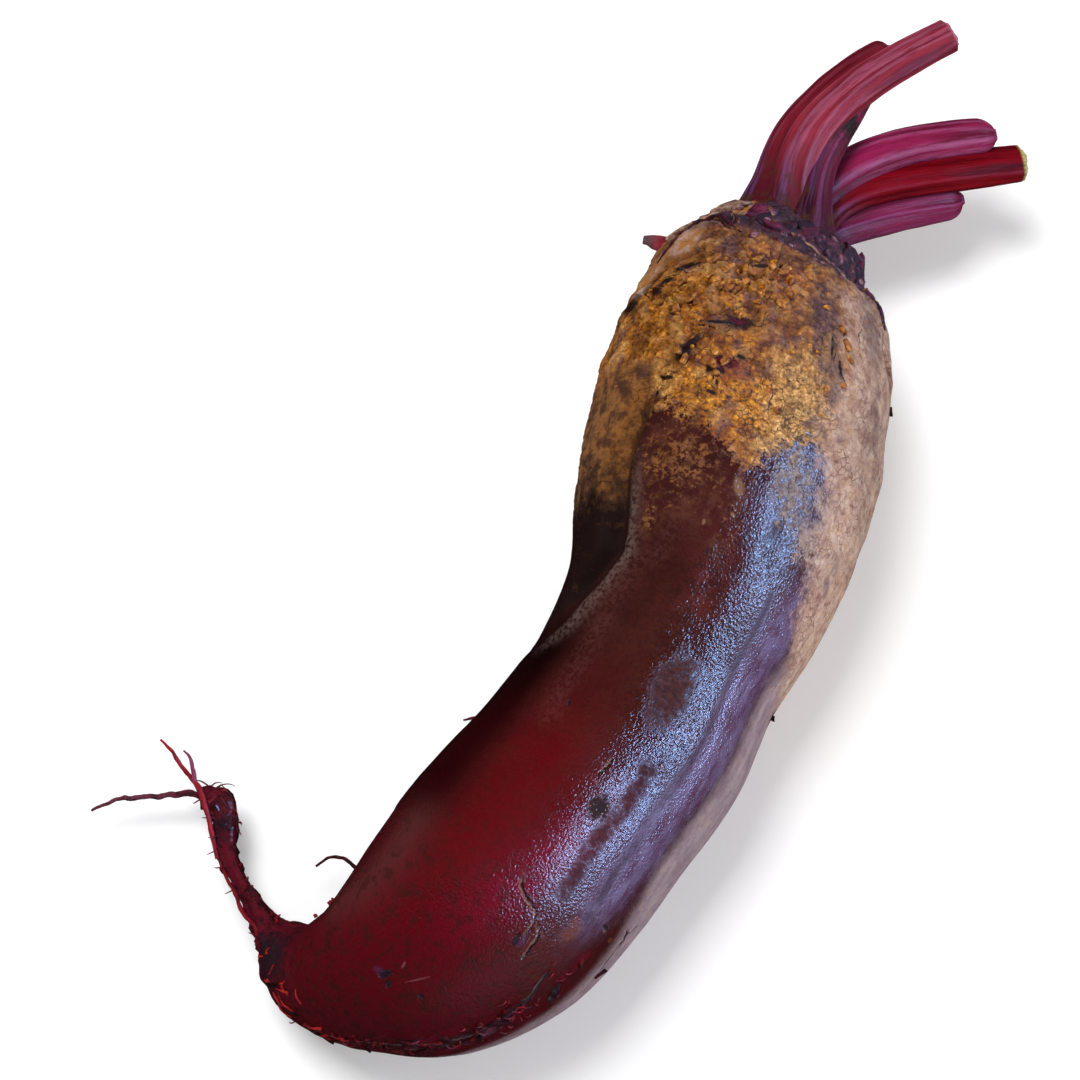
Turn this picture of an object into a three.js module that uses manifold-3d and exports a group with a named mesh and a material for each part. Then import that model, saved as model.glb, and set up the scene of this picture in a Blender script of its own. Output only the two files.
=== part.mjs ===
// A long cylindrical beetroot lying on its side, with its leaf stalks cut short, a taproot tail and rootlets.
// Millimetres, +Z up. +Y runs from the tail end to the crown, and the root rests on z = 0.
import * as THREE from "three";
import { mergeVertices } from "three/addons/utils/BufferGeometryUtils.js";
import Module from "manifold-3d";

const wasm = await Module();
wasm.setup();

// Driving dimensions
const gap = 0.3; // clearance between pieces that grow out of one another
const rootSides = 36;
const rootRings = 74;
const stalkSides = 20;
const stalkRings = 13;
const rootletSides = 8;
const rootletRings = 12;
const floorBox = { width: 400, depth: 20 }; // what is shaved off below the resting plane

// The swollen root from the crown to the end of the taproot tail.
// Each row is x, y, z of the middle of the root, then its half width and half height there.
const rootStations = [
  [14.3, 82.6, 25.5, 1.0, 1.0],
  [14.1, 81.6, 25.6, 7.0, 6.5],
  [13.7, 79.4, 25.8, 11.5, 11.0],
  [13.5, 76.2, 26.1, 15.2, 14.8],
  [13.7, 71.2, 26.5, 19.0, 18.6],
  [15.2, 63.7, 27.0, 22.8, 22.6],
  [18.2, 54.5, 27.4, 26.2, 26.0],
  [21.5, 43.5, 27.7, 28.2, 28.0],
  [25.0, 31.0, 27.6, 28.4, 28.0],
  [28.5, 17.5, 26.8, 27.2, 26.9],
  [30.8, 3.0, 25.6, 24.4, 24.6],
  [31.0, -11.0, 24.4, 22.6, 22.8],
  [30.8, -25.0, 23.8, 23.4, 22.9],
  [28.4, -39.0, 23.6, 23.5, 23.4],
  [25.5, -53.0, 23.6, 24.2, 24.1],
  [22.4, -66.4, 23.3, 23.6, 23.7],
  [16.4, -77.5, 20.9, 20.4, 21.3],
  [8.4, -85.0, 16.6, 14.8, 16.9],
  [1.2, -88.2, 13.5, 11.0, 12.8],
  [-4.6, -88.2, 11.8, 7.8, 9.0],
  [-10.2, -86.0, 10.7, 4.8, 5.4],
  [-15.8, -82.8, 10.1, 3.0, 3.4],
  [-21.4, -79.7, 9.7, 2.3, 2.6],
  [-26.2, -76.4, 9.4, 2.2, 2.3],
  [-29.4, -72.3, 9.2, 2.3, 2.3],
  [-32.0, -69.2, 9.2, 2.4, 2.4],
  [-35.2, -68.4, 9.2, 1.7, 1.7],
  [-37.0, -68.6, 9.2, 0.4, 0.4],
];

// A crease that runs along the upper left side of the root, in station numbers and in radians from the top.
const crease = { start: 6, end: 12, depth: 0.08, halfWidth: 0.17, angles: [-0.85, -0.72, -0.66, -0.9, -1.3] };

// Leaf stalks: x, y, z of the middle, then half width and half thickness, from the crown to the cut end.
// roll turns the section, in radians, and with it the side that is hollowed.
const stalks = {
  leaf_stalk_left_middle: {
    colour: 0x8a2f55,
    roll: -0.15,
    stations: [
      [14.2, 79.5, 27.5, 5.4, 4.0],
      [11.6, 86.3, 31.5, 4.6, 3.4],
      [10.2, 93.0, 34.5, 4.1, 3.1],
      [10.9, 101.2, 36.5, 3.9, 2.9],
      [13.9, 109.5, 38.0, 3.7, 2.8],
      [19.0, 118.4, 39.5, 3.5, 2.7],
      [26.0, 128.4, 41.0, 3.3, 2.5],
    ],
  },
  leaf_stalk_left_rear: {
    colour: 0x6a1c36,
    roll: 0.5,
    stations: [
      [10.4, 79.5, 27.0, 4.8, 3.8],
      [8.0, 86.4, 30.0, 4.1, 3.2],
      [6.6, 93.2, 32.4, 3.7, 2.9],
      [7.0, 101.0, 34.0, 3.4, 2.7],
      [9.4, 109.2, 35.2, 3.2, 2.6],
      [12.6, 116.0, 36.2, 3.1, 2.5],
      [16.4, 122.2, 37.0, 2.9, 2.3],
    ],
  },
  leaf_stalk_left_front: {
    colour: 0x84305a,
    roll: -0.5,
    stations: [
      [17.4, 80.0, 28.0, 4.4, 3.6],
      [15.4, 87.2, 31.5, 3.7, 3.1],
      [14.2, 93.0, 33.6, 3.2, 2.7],
      [14.2, 99.5, 35.0, 2.7, 2.3],
      [15.3, 105.3, 36.0, 2.1, 1.9],
      [16.4, 110.3, 36.8, 1.3, 1.2],
    ],
  },
  leaf_stalk_right_middle: {
    colour: 0x8c1b30,
    roll: 0.2,
    stations: [
      [15.8, 81.0, 24.5, 4.4, 3.8],
      [17.6, 88.6, 25.0, 3.9, 3.2],
      [20.2, 94.4, 25.0, 3.6, 3.0],
      [24.3, 99.5, 24.7, 3.4, 2.9],
      [31.7, 106.1, 24.0, 3.3, 2.8],
      [39.9, 112.7, 23.0, 3.2, 2.7],
      [48.8, 119.6, 22.0, 3.0, 2.5],
    ],
  },
  leaf_stalk_right_top: {
    colour: 0x7d2a4e,
    roll: 0.6,
    stations: [
      [13.8, 82.0, 25.5, 3.8, 3.4],
      [15.4, 89.2, 26.6, 3.7, 3.2],
      [17.2, 95.8, 27.2, 3.5, 3.0],
      [21.0, 102.6, 27.2, 3.4, 2.8],
      [26.7, 109.3, 26.8, 3.3, 2.7],
      [33.8, 115.5, 26.0, 3.2, 2.6],
      [41.3, 121.2, 25.0, 3.0, 2.4],
    ],
  },
  leaf_stalk_right_bottom: {
    colour: 0x74264a,
    roll: -0.4,
    stations: [
      [18.2, 79.6, 23.0, 4.2, 3.6],
      [20.6, 86.8, 22.4, 3.7, 3.2],
      [24.0, 91.4, 22.0, 3.5, 3.0],
      [28.2, 96.3, 21.4, 3.3, 2.8],
      [34.2, 102.2, 20.5, 3.2, 2.7],
      [40.6, 107.8, 19.5, 3.0, 2.4],
    ],
  },
};
const stalkShape = { ribs: 5, ribDepth: 0.05, channel: 0.22, channelWidth: 0.7 };

// The shrivelled stub of a dead leaf on the left shoulder of the crown.
const leafStub = {
  colour: 0x5a0f1c,
  stations: [
    [-1.0, 69.8, 24.3, 3.6, 1.5],
    [-4.4, 68.4, 25.0, 3.0, 1.2],
    [-7.0, 67.8, 25.6, 2.0, 1.0],
    [-9.4, 67.3, 26.0, 1.0, 0.7],
    [-11.1, 66.7, 26.2, 0.5, 0.5],
  ],
};

// Rootlets: x, y, z of the middle and then the radius, from where each grows out to its free end.
const rootlets = {
  tail_rootlet: {
    colour: 0x5b2230,
    line: [
      [-36.0, -68.5, 9.2, 0.9],
      [-38.8, -69.2, 9.0, 0.85],
      [-41.1, -70.7, 8.5, 0.75],
      [-44.0, -72.1, 8.3, 0.7],
      [-47.7, -74.4, 8.3, 0.6],
      [-51.3, -77.0, 8.0, 0.5],
      [-53.9, -79.7, 7.5, 0.28],
    ],
  },
  red_rootlet: {
    colour: 0xa01a26,
    line: [
      [-29.8, -75.4, 10.6, 0.7],
      [-31.9, -73.0, 11.5, 0.8],
      [-34.0, -70.8, 12.0, 0.8],
      [-36.0, -68.9, 12.2, 0.8],
      [-38.4, -67.4, 12.0, 0.75],
      [-41.4, -66.1, 11.5, 0.65],
      [-45.2, -64.1, 11.5, 0.5],
      [-48.3, -62.9, 11.0, 0.35],
    ],
  },
  red_rootlet_branch: {
    colour: 0x7a2a44,
    line: [
      [-38.2, -67.5, 12.0, 0.6],
      [-39.6, -65.6, 12.4, 0.5],
      [-41.4, -63.9, 12.5, 0.4],
      [-43.2, -63.2, 12.0, 0.25],
    ],
  },
  lower_rootlet: {
    colour: 0x98202a,
    line: [
      [-11.6, -88.4, 13.4, 0.7],
      [-14.6, -86.6, 13.6, 0.65],
      [-17.8, -85.0, 13.2, 0.65],
      [-20.8, -82.9, 12.6, 0.6],
      [-23.9, -80.6, 12.0, 0.55],
      [-27.0, -78.2, 11.4, 0.35],
    ],
  },
  inner_rootlet: {
    colour: 0x3a1018,
    line: [
      [2.0, -68.6, 14.6, 0.5],
      [-2.8, -68.4, 13.2, 0.45],
      [-4.9, -67.8, 12.2, 0.4],
      [-6.9, -67.5, 11.2, 0.35],
      [-9.1, -68.3, 10.2, 0.3],
      [-10.9, -70.6, 9.2, 0.22],
    ],
  },
  inner_rootlet_stub: {
    colour: 0x4a1018,
    line: [
      [8.5, -31.2, 15.0, 0.5],
      [5.4, -32.0, 14.2, 0.45],
      [2.9, -32.6, 13.2, 0.35],
      [1.0, -33.8, 12.2, 0.22],
    ],
  },
};

const skyward = new THREE.Vector3(0, 0, 1);

// A geometry as a solid. Its seam and pole vertices are merged first, so that the surface is closed.
function solidOf(geometry) {
  geometry.deleteAttribute("normal");
  geometry.deleteAttribute("uv");
  const merged = mergeVertices(geometry);
  const vertProperties = new Float32Array(merged.attributes.position.array);
  const triVerts = new Uint32Array(merged.index.array);
  return new wasm.Manifold(new wasm.Mesh({ numProp: 3, vertProperties, triVerts }));
}

// A closed solid along a row of stations, with flat ends. Each section is an ellipse of the station's half
// sizes plus grow, times shape(station, angle). Angle 0 is the top of the section, and a positive angle lies
// to the left of the way the stations run. roll turns the whole section about its middle.
function loft(stations, { sides, rings, grow = 0, roll = 0, shape = () => 1 }) {
  const middles = stations.map(([x, y, z]) => new THREE.Vector3(x, y, z));
  const halves = stations.map((station) => new THREE.Vector3(station[3], station[4], 0));
  const middleLine = new THREE.CatmullRomCurve3(middles, false, "catmullrom");
  const halfLine = new THREE.CatmullRomCurve3(halves, false, "catmullrom");
  const geometry = new THREE.SphereGeometry(1, sides, rings);
  const { position, uv } = geometry.attributes;
  for (let i = 0; i < position.count; i++) {
    const ring = Math.round((1 - uv.getY(i)) * rings);
    const atPole = ring === 0 || ring === rings;
    const along = THREE.MathUtils.clamp((ring - 1) / (rings - 2), 0, 1);
    const angle = atPole ? 0 : (2 * uv.getX(i) - 1) * Math.PI;
    const forward = middleLine.getTangent(along);
    const left = skyward.clone().cross(forward).normalize();
    const up = forward.clone().cross(left);
    const half = halfLine.getPoint(along);
    const scale = atPole ? 0 : shape(along * (stations.length - 1), angle);
    const point = middleLine.getPoint(along);
    point.addScaledVector(left, (half.x + grow) * scale * Math.sin(angle + roll));
    point.addScaledVector(up, (half.y + grow) * scale * Math.cos(angle + roll));
    point.addScaledVector(forward, 2 * ring < rings ? -grow : grow);
    position.setXYZ(i, point.x, point.y, point.z);
  }
  return solidOf(geometry);
}

// How far the crease cuts into the root at a station and an angle, as a share of the radius.
function rootShape(station, angle) {
  const share = (station - crease.start) / (crease.end - crease.start);
  if (share < 0 || share > 1) return 1;
  const step = share * (crease.angles.length - 1);
  const before = Math.min(Math.floor(step), crease.angles.length - 2);
  const middle = THREE.MathUtils.lerp(crease.angles[before], crease.angles[before + 1], step - before);
  const depth = crease.depth * Math.sin(share * Math.PI);
  return 1 - depth * Math.exp(-(((angle - middle) / crease.halfWidth) ** 2));
}

// A leaf stalk's section: ribbed, with a shallow channel on its upper side.
function stalkSection(station, angle) {
  const ribs = stalkShape.ribDepth * Math.cos(stalkShape.ribs * angle);
  return 1 + ribs - stalkShape.channel * Math.exp(-((angle / stalkShape.channelWidth) ** 2));
}

// The largest of a solid's separate bodies: a cut at a crowded base can leave slivers behind.
function largestBody(solid) {
  return solid.decompose().reduce((best, body) => (body.volume() > best.volume() ? body : best));
}

function meshOf(name, solid, colour, roughness) {
  const { vertProperties, triVerts } = solid.getMesh();
  const geometry = new THREE.BufferGeometry();
  geometry.setAttribute("position", new THREE.BufferAttribute(vertProperties, 3));
  geometry.setIndex(new THREE.BufferAttribute(triVerts, 1));
  geometry.computeVertexNormals();
  const material = new THREE.MeshStandardMaterial({ color: colour, roughness, metalness: 0 });
  const mesh = new THREE.Mesh(geometry, material);
  mesh.name = name;
  return mesh;
}

const rootLoft = { sides: rootSides, rings: rootRings, shape: rootShape };
const stalkLoft = { sides: stalkSides, rings: stalkRings, shape: stalkSection };
const rootletLoft = { sides: rootletSides, rings: rootletRings };

// The root, shaved flat where it touches the surface that it lies on.
const floor = new THREE.BoxGeometry(floorBox.width, floorBox.width, floorBox.depth);
floor.translate(0, 0, -floorBox.depth / 2);
const root = loft(rootStations, rootLoft).subtract(solidOf(floor));

const beetroot = new THREE.Group();
const laid = new THREE.Group();
beetroot.add(laid);
laid.add(meshOf("root", root, 0x5c1622, 0.4));

// What has been placed so far, each grown by the clearance, so that the next piece stops short of it.
const placed = [loft(rootStations, { ...rootLoft, grow: gap })];

function place(name, stations, look, options) {
  const whole = loft(stations, options);
  const piece = largestBody(placed.reduce((rest, solid) => rest.subtract(solid), whole));
  placed.push(loft(stations, { ...options, grow: gap }));
  laid.add(meshOf(name, piece, look.colour, look.roughness));
}

for (const [name, stalk] of Object.entries(stalks)) {
  place(name, stalk.stations, { colour: stalk.colour, roughness: 0.45 }, { ...stalkLoft, roll: stalk.roll });
}
place("dried_leaf_stub", leafStub.stations, { colour: leafStub.colour, roughness: 0.7 }, rootletLoft);
for (const [name, rootlet] of Object.entries(rootlets)) {
  const stations = rootlet.line.map(([x, y, z, radius]) => [x, y, z, radius, radius]);
  place(name, stations, { colour: rootlet.colour, roughness: 0.6 }, rootletLoft);
}

// The origin is under the middle of the whole beetroot, on the surface that it lies on.
const middle = new THREE.Box3().setFromObject(laid).getCenter(new THREE.Vector3());
laid.position.set(-middle.x, -middle.y, 0);

export default beetroot;
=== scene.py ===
import math

import bpy
import numpy as np
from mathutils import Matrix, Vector


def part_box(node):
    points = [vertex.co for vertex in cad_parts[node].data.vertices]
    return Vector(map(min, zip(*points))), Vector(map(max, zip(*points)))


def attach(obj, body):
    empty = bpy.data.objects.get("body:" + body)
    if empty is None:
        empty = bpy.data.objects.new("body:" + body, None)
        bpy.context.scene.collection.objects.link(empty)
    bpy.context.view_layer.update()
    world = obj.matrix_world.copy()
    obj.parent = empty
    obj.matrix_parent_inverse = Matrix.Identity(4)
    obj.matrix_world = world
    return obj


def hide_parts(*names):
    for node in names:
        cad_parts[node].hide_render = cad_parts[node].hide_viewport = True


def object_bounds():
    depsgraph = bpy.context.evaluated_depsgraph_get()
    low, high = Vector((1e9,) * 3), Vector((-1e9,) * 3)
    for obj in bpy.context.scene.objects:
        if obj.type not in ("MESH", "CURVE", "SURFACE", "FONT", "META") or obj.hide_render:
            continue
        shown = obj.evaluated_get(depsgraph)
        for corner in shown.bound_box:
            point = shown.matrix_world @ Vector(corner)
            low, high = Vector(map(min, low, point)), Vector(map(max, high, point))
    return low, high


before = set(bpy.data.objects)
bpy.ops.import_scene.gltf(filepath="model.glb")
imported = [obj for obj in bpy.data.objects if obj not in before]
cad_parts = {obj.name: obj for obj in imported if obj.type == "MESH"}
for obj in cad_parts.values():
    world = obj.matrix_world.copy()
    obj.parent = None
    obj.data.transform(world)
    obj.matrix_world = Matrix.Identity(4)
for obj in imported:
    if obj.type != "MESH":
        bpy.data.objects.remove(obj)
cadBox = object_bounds()
mm = 0.001
skyward = np.array([0.0, 0.0, 1.0])


# Small tools for numbers

def smooth(low, high, value):
    share = np.clip((value - low) / (high - low), 0, 1)
    return share * share * (3 - 2 * share)


def bell(value, width):
    return np.exp(-((value / width) ** 2))


def tint(red, green, blue):
    # a colour picked on a 0 to 255 scale, as the shader wants it
    parts = [(c / 255 / 12.92 if c <= 10 else ((c / 255 + 0.055) / 1.055) ** 2.4) for c in (red, green, blue)]
    return (*parts, 1.0)


def lumpy(points, size, seed, octaves=1):
    # smooth noise from -1 to 1 whose bumps are about size across
    total = np.zeros(points.shape[:-1])
    for octave in range(octaves):
        spot = points / size * 2**octave + seed * 17.3
        cell = np.floor(spot).astype(np.int64)
        part = spot - cell
        part = part * part * (3 - 2 * part)
        for corner in range(8):
            step = np.array([corner & 1, corner >> 1 & 1, corner >> 2 & 1])
            key = ((cell + step) * np.array([73856093, 19349663, 83492791])).sum(-1) + seed * 9176
            key = ((key ^ (key >> 13)) * 1274126177) & 0x7FFFFFFF
            height = ((key ^ (key >> 16)) & 0xFFFF) / 32768 - 1
            total += height * np.where(step, part, 1 - part).prod(-1) * 0.5**octave
    return total


def curveAt(rows, along):
    # an even Catmull-Rom curve through the rows
    rows = np.asarray(rows, float)
    padded = np.vstack([2 * rows[0] - rows[1], rows, 2 * rows[-1] - rows[-2]])
    along = np.clip(along, 0, len(rows) - 1)
    first = np.minimum(along.astype(int), len(rows) - 2)
    t = (along - first)[:, None]
    a, b, c, d = (padded[first + i] for i in range(4))
    return 0.5 * (2 * b + (c - a) * t + (2 * a - 5 * b + 4 * c - d) * t**2 + (3 * b - a - 3 * c + d) * t**3)


def arcTable(rows):
    # arc length in mm against station number
    along = np.linspace(0, len(rows) - 1, 3000)
    steps = np.linalg.norm(np.diff(curveAt(rows, along)[:, :3], axis=0), axis=1)
    return along, np.concatenate([[0], np.cumsum(steps)])


def axesAt(rows, along):
    step = 0.01
    forward = curveAt(rows, along + step)[:, :3] - curveAt(rows, along - step)[:, :3]
    forward /= np.linalg.norm(forward, axis=1)[:, None]
    left = np.cross(skyward, forward)
    left /= np.linalg.norm(left, axis=1)[:, None]
    return forward, left, np.cross(forward, left)


def sweep(rows, along, angles, roll=0.0, scale=1.0):
    # a grid of points round the line of stations; angle 0 is on top, and positive angles are left of travel
    at = curveAt(rows, along)
    _, left, up = axesAt(rows, along)
    wide = at[:, 3, None] * scale * np.sin(angles + roll)
    high = at[:, 4, None] * scale * np.cos(angles + roll)
    return at[:, None, :3] + wide[..., None] * left[:, None] + high[..., None] * up[:, None]


def gridNormals(grid):
    ahead = np.gradient(grid, axis=0)
    sideways = np.roll(grid, -1, axis=1) - np.roll(grid, 1, axis=1)
    normals = np.cross(ahead, sideways)
    return normals / np.maximum(np.linalg.norm(normals, axis=2), 1e-12)[..., None]


# Small tools for meshes and nodes

def newObject(name, data):
    made = bpy.data.objects.new(name, data)
    bpy.context.scene.collection.objects.link(made)
    return made


def closedPoints(grid):
    # the points of a grid of rings, and the middle of each end
    return np.vstack([grid.reshape(-1, 3), grid[0].mean(0), grid[-1].mean(0)])


def closedFaces(rings, sides, first=0):
    # the faces of a closed skin over such a grid, each end drawn together in its middle
    index = first + np.arange(rings * sides).reshape(rings, sides)
    following = np.roll(index, -1, axis=1)
    quads = np.stack([index[:-1], index[1:], following[1:], following[:-1]], -1).reshape(-1, 4)
    middle = first + rings * sides
    start = [(middle, int(a), int(b)) for a, b in zip(index[0], following[0])]
    end = [(middle + 1, int(b), int(a)) for a, b in zip(index[-1], following[-1])]
    return [*quads.tolist(), *start, *end]


def newPiece(name, points, faces, material):
    mesh = bpy.data.meshes.new(name)
    mesh.from_pydata((points * mm).tolist(), [], faces)
    mesh.shade_smooth()
    mesh.materials.append(material)
    return newObject(name, mesh)


def gridMesh(name, grid, values, material):
    rings, sides = grid.shape[:2]
    piece = newPiece(name, closedPoints(grid), closedFaces(rings, sides), material)
    for key, field in values.items():
        ends = [float(np.mean(field[ring])) for ring in (0, -1)]
        flat = np.concatenate([np.broadcast_to(field, (rings, sides)).reshape(-1), ends])
        attribute = piece.data.attributes.new(key, "FLOAT", "POINT")
        attribute.data.foreach_set("value", flat.astype(np.float32))
    return piece


def tints(stops):
    # the stops of a ramp, with each colour as the shader wants it
    return [(place, tint(*colour)) for place, colour in stops]


class Nodes:
    # the nodes of a tree, and the few that are used again and again
    def __init__(self, tree):
        self.tree = tree

    def put(self, kind, inputs=None, **settings):
        # adds a node, and links or sets what is given for its inputs
        made = self.tree.nodes.new(kind)
        for key, value in settings.items():
            setattr(made, key, value)
        for key, value in (inputs or {}).items():
            if isinstance(value, bpy.types.NodeSocket):
                self.tree.links.new(value, made.inputs[key])
            else:
                made.inputs[key].default_value = value
        return made

    def sums(self, operation, first, second=0.0, third=0.0):
        made = self.put("ShaderNodeMath", {0: first, 1: second, 2: third}, operation=operation)
        return made.outputs[0]

    def times(self, first, second):
        return self.sums("MULTIPLY", first, second)

    def plus(self, first, second):
        return self.sums("ADD", first, second)

    def less(self, first, second):
        return self.sums("SUBTRACT", first, second)

    def larger(self, first, second):
        return self.sums("MAXIMUM", first, second)

    def vectors(self, operation, first, second):
        # second is a number for SCALE and a vector for the others
        inputs = {0: first, ("Scale" if operation == "SCALE" else 1): second}
        return self.put("ShaderNodeVectorMath", inputs, operation=operation).outputs[0]

    def fade(self, value, low, high, toLow=0.0, toHigh=1.0):
        inputs = {0: value, 1: low, 2: high, 3: toLow, 4: toHigh}
        return self.put("ShaderNodeMapRange", inputs, interpolation_type="SMOOTHSTEP").outputs[0]

    def mix(self, share, first, second, blend="MIX"):
        inputs = {0: share, 6: first, 7: second}
        return self.put("ShaderNodeMix", inputs, data_type="RGBA", blend_type=blend).outputs[2]


print("beetroot: tools ready")

# Camera
cameraSetup = {
    "azimuth": 27, "elevation": 68, "distance": 0.4794, "lens": 85, "aim": (-0.0006, -0.0156, 0.0275)
}


def makeCamera(setup):
    low, high = cadBox
    middle = Vector(((low.x + high.x) / 2, (low.y + high.y) / 2, low.z))
    turn, rise = math.radians(setup["azimuth"]), math.radians(setup["elevation"])
    away = Vector((math.sin(turn) * math.cos(rise), -math.cos(turn) * math.cos(rise), math.sin(rise)))
    data = bpy.data.cameras.new("camera")
    data.lens = setup["lens"]
    camera = newObject("camera", data)
    camera.location = middle + Vector(setup["aim"]) + away * setup["distance"]
    camera.rotation_euler = (-away).to_track_quat("-Z", "Y").to_euler()
    bpy.context.scene.camera = camera


makeCamera(cameraSetup)

# Floor and lights
studio = {
    "floorReach": 3.0,
    "floorGap": 0.0001,  # below the object
    "floorColour": (0.88, 0.88, 0.885, 1),
    "floorLift": 0.2,
    "whiteFrom": 0.35,  # how far out the floor begins to turn plain white
    "whiteAt": 0.9,
    "sheetReach": 2.9,
    "sheetGap": 0.00005,
    # a dark sheet on the floor that only reflections see, so the glossy flanks keep their depth
    "sheetShade": (0.018, 0.007, 0.007, 1),
    "ambient": (0.34, 0.34, 0.35, 1),  # what the room gives to matt surfaces
    "roomOverhead": (0.02, 0.02, 0.025, 1),  # what glossy surfaces see of the room
    "roomDark": (0.02, 0.013, 0.012, 1),
    "roomBright": (0.62, 0.62, 0.72, 1),
    "brightFrom": (0.83, 0.20),  # the side on which the room is bright
    "aim": (0.0, -0.01, 0.02),
    # each light's place, power, size, colour, and the kind of ray that doesn't see it
    "lights": {
        "keyPanel": ((-0.31, 0.05, 1.0), 8.8, (0.45, 0.45), (1, 1, 1), "visible_glossy"),
        "windowPanel": ((0.93, 0.25, 0.78), 35, (0.70, 0.085), (0.32, 0.53, 1.0), "visible_diffuse"),
        "leftPanel": ((-1.0, -0.1, 0.55), 0.22, (0.9, 0.25), (1.0, 0.86, 0.8), "visible_diffuse"),
        "rightFill": ((0.9, 0.1, 0.45), 3.4, (0.6, 0.5), (1, 1, 1), "visible_glossy"),
    },
}


def areaLight(name, place, aim, power, size, colour):
    data = bpy.data.lights.new(name, "AREA")
    data.shape = "RECTANGLE"
    data.size, data.size_y = size
    data.energy = power
    data.color = colour
    light = newObject(name, data)
    light.location = place
    light.rotation_euler = (Vector(place) - Vector(aim)).to_track_quat("Z", "Y").to_euler()
    light.visible_camera = False
    return light


def clearMaterial(name):
    material = bpy.data.materials.new(name)
    material.use_nodes = True
    material.node_tree.nodes.clear()
    return material


def levelSheet(name, reach, level, material):
    corners = [(x * reach, y * reach, level) for x, y in ((-1, -1), (1, -1), (1, 1), (-1, 1))]
    mesh = bpy.data.meshes.new(name)
    mesh.from_pydata(corners, [], [(0, 1, 2, 3)])
    mesh.materials.append(material)
    return newObject(name, mesh)


def makeStudio(setup):
    paper = clearMaterial("paleFloor")
    n = Nodes(paper.node_tree)
    matt = n.put("ShaderNodeBsdfDiffuse", {"Color": setup["floorColour"]})
    rays = n.put("ShaderNodeLightPath").outputs
    seen = n.larger(n.larger(rays["Is Camera Ray"], rays["Is Glossy Ray"]), rays["Is Transmission Ray"])
    place = n.put("ShaderNodeTexCoord").outputs["Object"]
    away = n.put("ShaderNodeVectorMath", {0: place}, operation="LENGTH").outputs["Value"]
    glow = n.fade(away, setup["whiteFrom"], setup["whiteAt"], setup["floorLift"], 1.0)
    lift = n.put("ShaderNodeEmission", {"Strength": n.times(seen, glow)})
    both = n.put("ShaderNodeAddShader", {0: matt.outputs[0], 1: lift.outputs[0]})
    n.put("ShaderNodeOutputMaterial", {"Surface": both.outputs[0]})
    level = cadBox[0].z - setup["floorGap"]
    levelSheet("floor", setup["floorReach"], level, paper)

    dark = clearMaterial("darkSheet")
    n = Nodes(dark.node_tree)
    paintedShade = n.put("ShaderNodeEmission", {"Color": setup["sheetShade"]})
    n.put("ShaderNodeOutputMaterial", {"Surface": paintedShade.outputs[0]})
    sheet = levelSheet("darkSheet", setup["sheetReach"], level + setup["sheetGap"], dark)
    sheet.visible_camera = sheet.visible_diffuse = sheet.visible_transmission = sheet.visible_shadow = False

    world = bpy.data.worlds.new("softRoom")
    bpy.context.scene.world = world
    world.use_nodes = True
    world.node_tree.nodes.clear()
    n = Nodes(world.node_tree)
    direction = n.put("ShaderNodeTexCoord").outputs["Generated"]
    parts = n.put("ShaderNodeSeparateXYZ", {0: direction}).outputs
    x, y = setup["brightFrom"]
    side = n.plus(n.times(parts["X"], x), n.times(parts["Y"], y))
    walls = n.mix(n.fade(side, -0.1, 0.7), setup["roomDark"], setup["roomBright"])
    room = n.mix(n.fade(parts["Z"], 0.3, 0.7), walls, setup["roomOverhead"])
    rays = n.put("ShaderNodeLightPath").outputs
    seen = n.mix(rays["Is Glossy Ray"], setup["ambient"], room)
    plain = n.mix(rays["Is Camera Ray"], seen, (1.0, 1.0, 1.0, 1.0))
    background = n.put("ShaderNodeBackground", {"Color": plain})
    n.put("ShaderNodeOutputWorld", {"Surface": background.outputs[0]})

    for name, (place, power, size, colour, unseenBy) in setup["lights"].items():
        light = areaLight(name, place, setup["aim"], power, size, colour)
        setattr(light, unseenBy, False)


makeStudio(studio)
bpy.context.scene.view_settings.view_transform = "Standard"
print("beetroot: camera, floor and lights set")

# The root, from the crown to the tail's end: x, y, z of its middle, then its half width and half height, in mm
rootStations = [
    (14.3, 82.6, 25.5, 1.0, 1.0),
    (14.1, 81.6, 25.6, 7.0, 6.5),
    (13.7, 79.4, 25.8, 11.5, 11.0),
    (13.5, 76.2, 26.1, 15.2, 14.8),
    (13.7, 71.2, 26.5, 19.0, 18.6),
    (15.2, 63.7, 27.0, 22.8, 22.6),
    (18.2, 54.5, 27.4, 26.2, 26.0),
    (21.5, 43.5, 27.7, 28.2, 28.0),
    (25.0, 31.0, 27.6, 28.4, 28.0),
    (28.5, 17.5, 26.8, 27.2, 26.9),
    (30.8, 3.0, 25.6, 24.4, 24.6),
    (31.0, -11.0, 24.4, 22.6, 22.8),
    (30.8, -25.0, 23.8, 23.4, 22.9),
    (28.4, -39.0, 23.6, 23.5, 23.4),
    (25.5, -53.0, 23.6, 24.2, 24.1),
    (22.4, -66.4, 23.3, 23.6, 23.7),
    (16.4, -77.5, 20.9, 20.4, 21.3),
    (8.4, -85.0, 16.6, 14.8, 16.9),
    (1.2, -88.2, 13.5, 11.0, 12.8),
    (-4.6, -88.2, 11.8, 7.8, 9.0),
    (-10.2, -86.0, 10.7, 4.8, 5.4),
    (-15.8, -82.8, 10.1, 3.0, 3.4),
    (-21.4, -79.7, 9.7, 2.3, 2.6),
    (-26.2, -76.4, 9.4, 2.2, 2.3),
    (-29.4, -72.3, 9.2, 2.3, 2.3),
    (-32.0, -69.2, 9.2, 2.4, 2.4),
    (-35.2, -68.4, 9.2, 1.7, 1.7),
    (-37.0, -68.6, 9.2, 0.4, 0.4),
]

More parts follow.
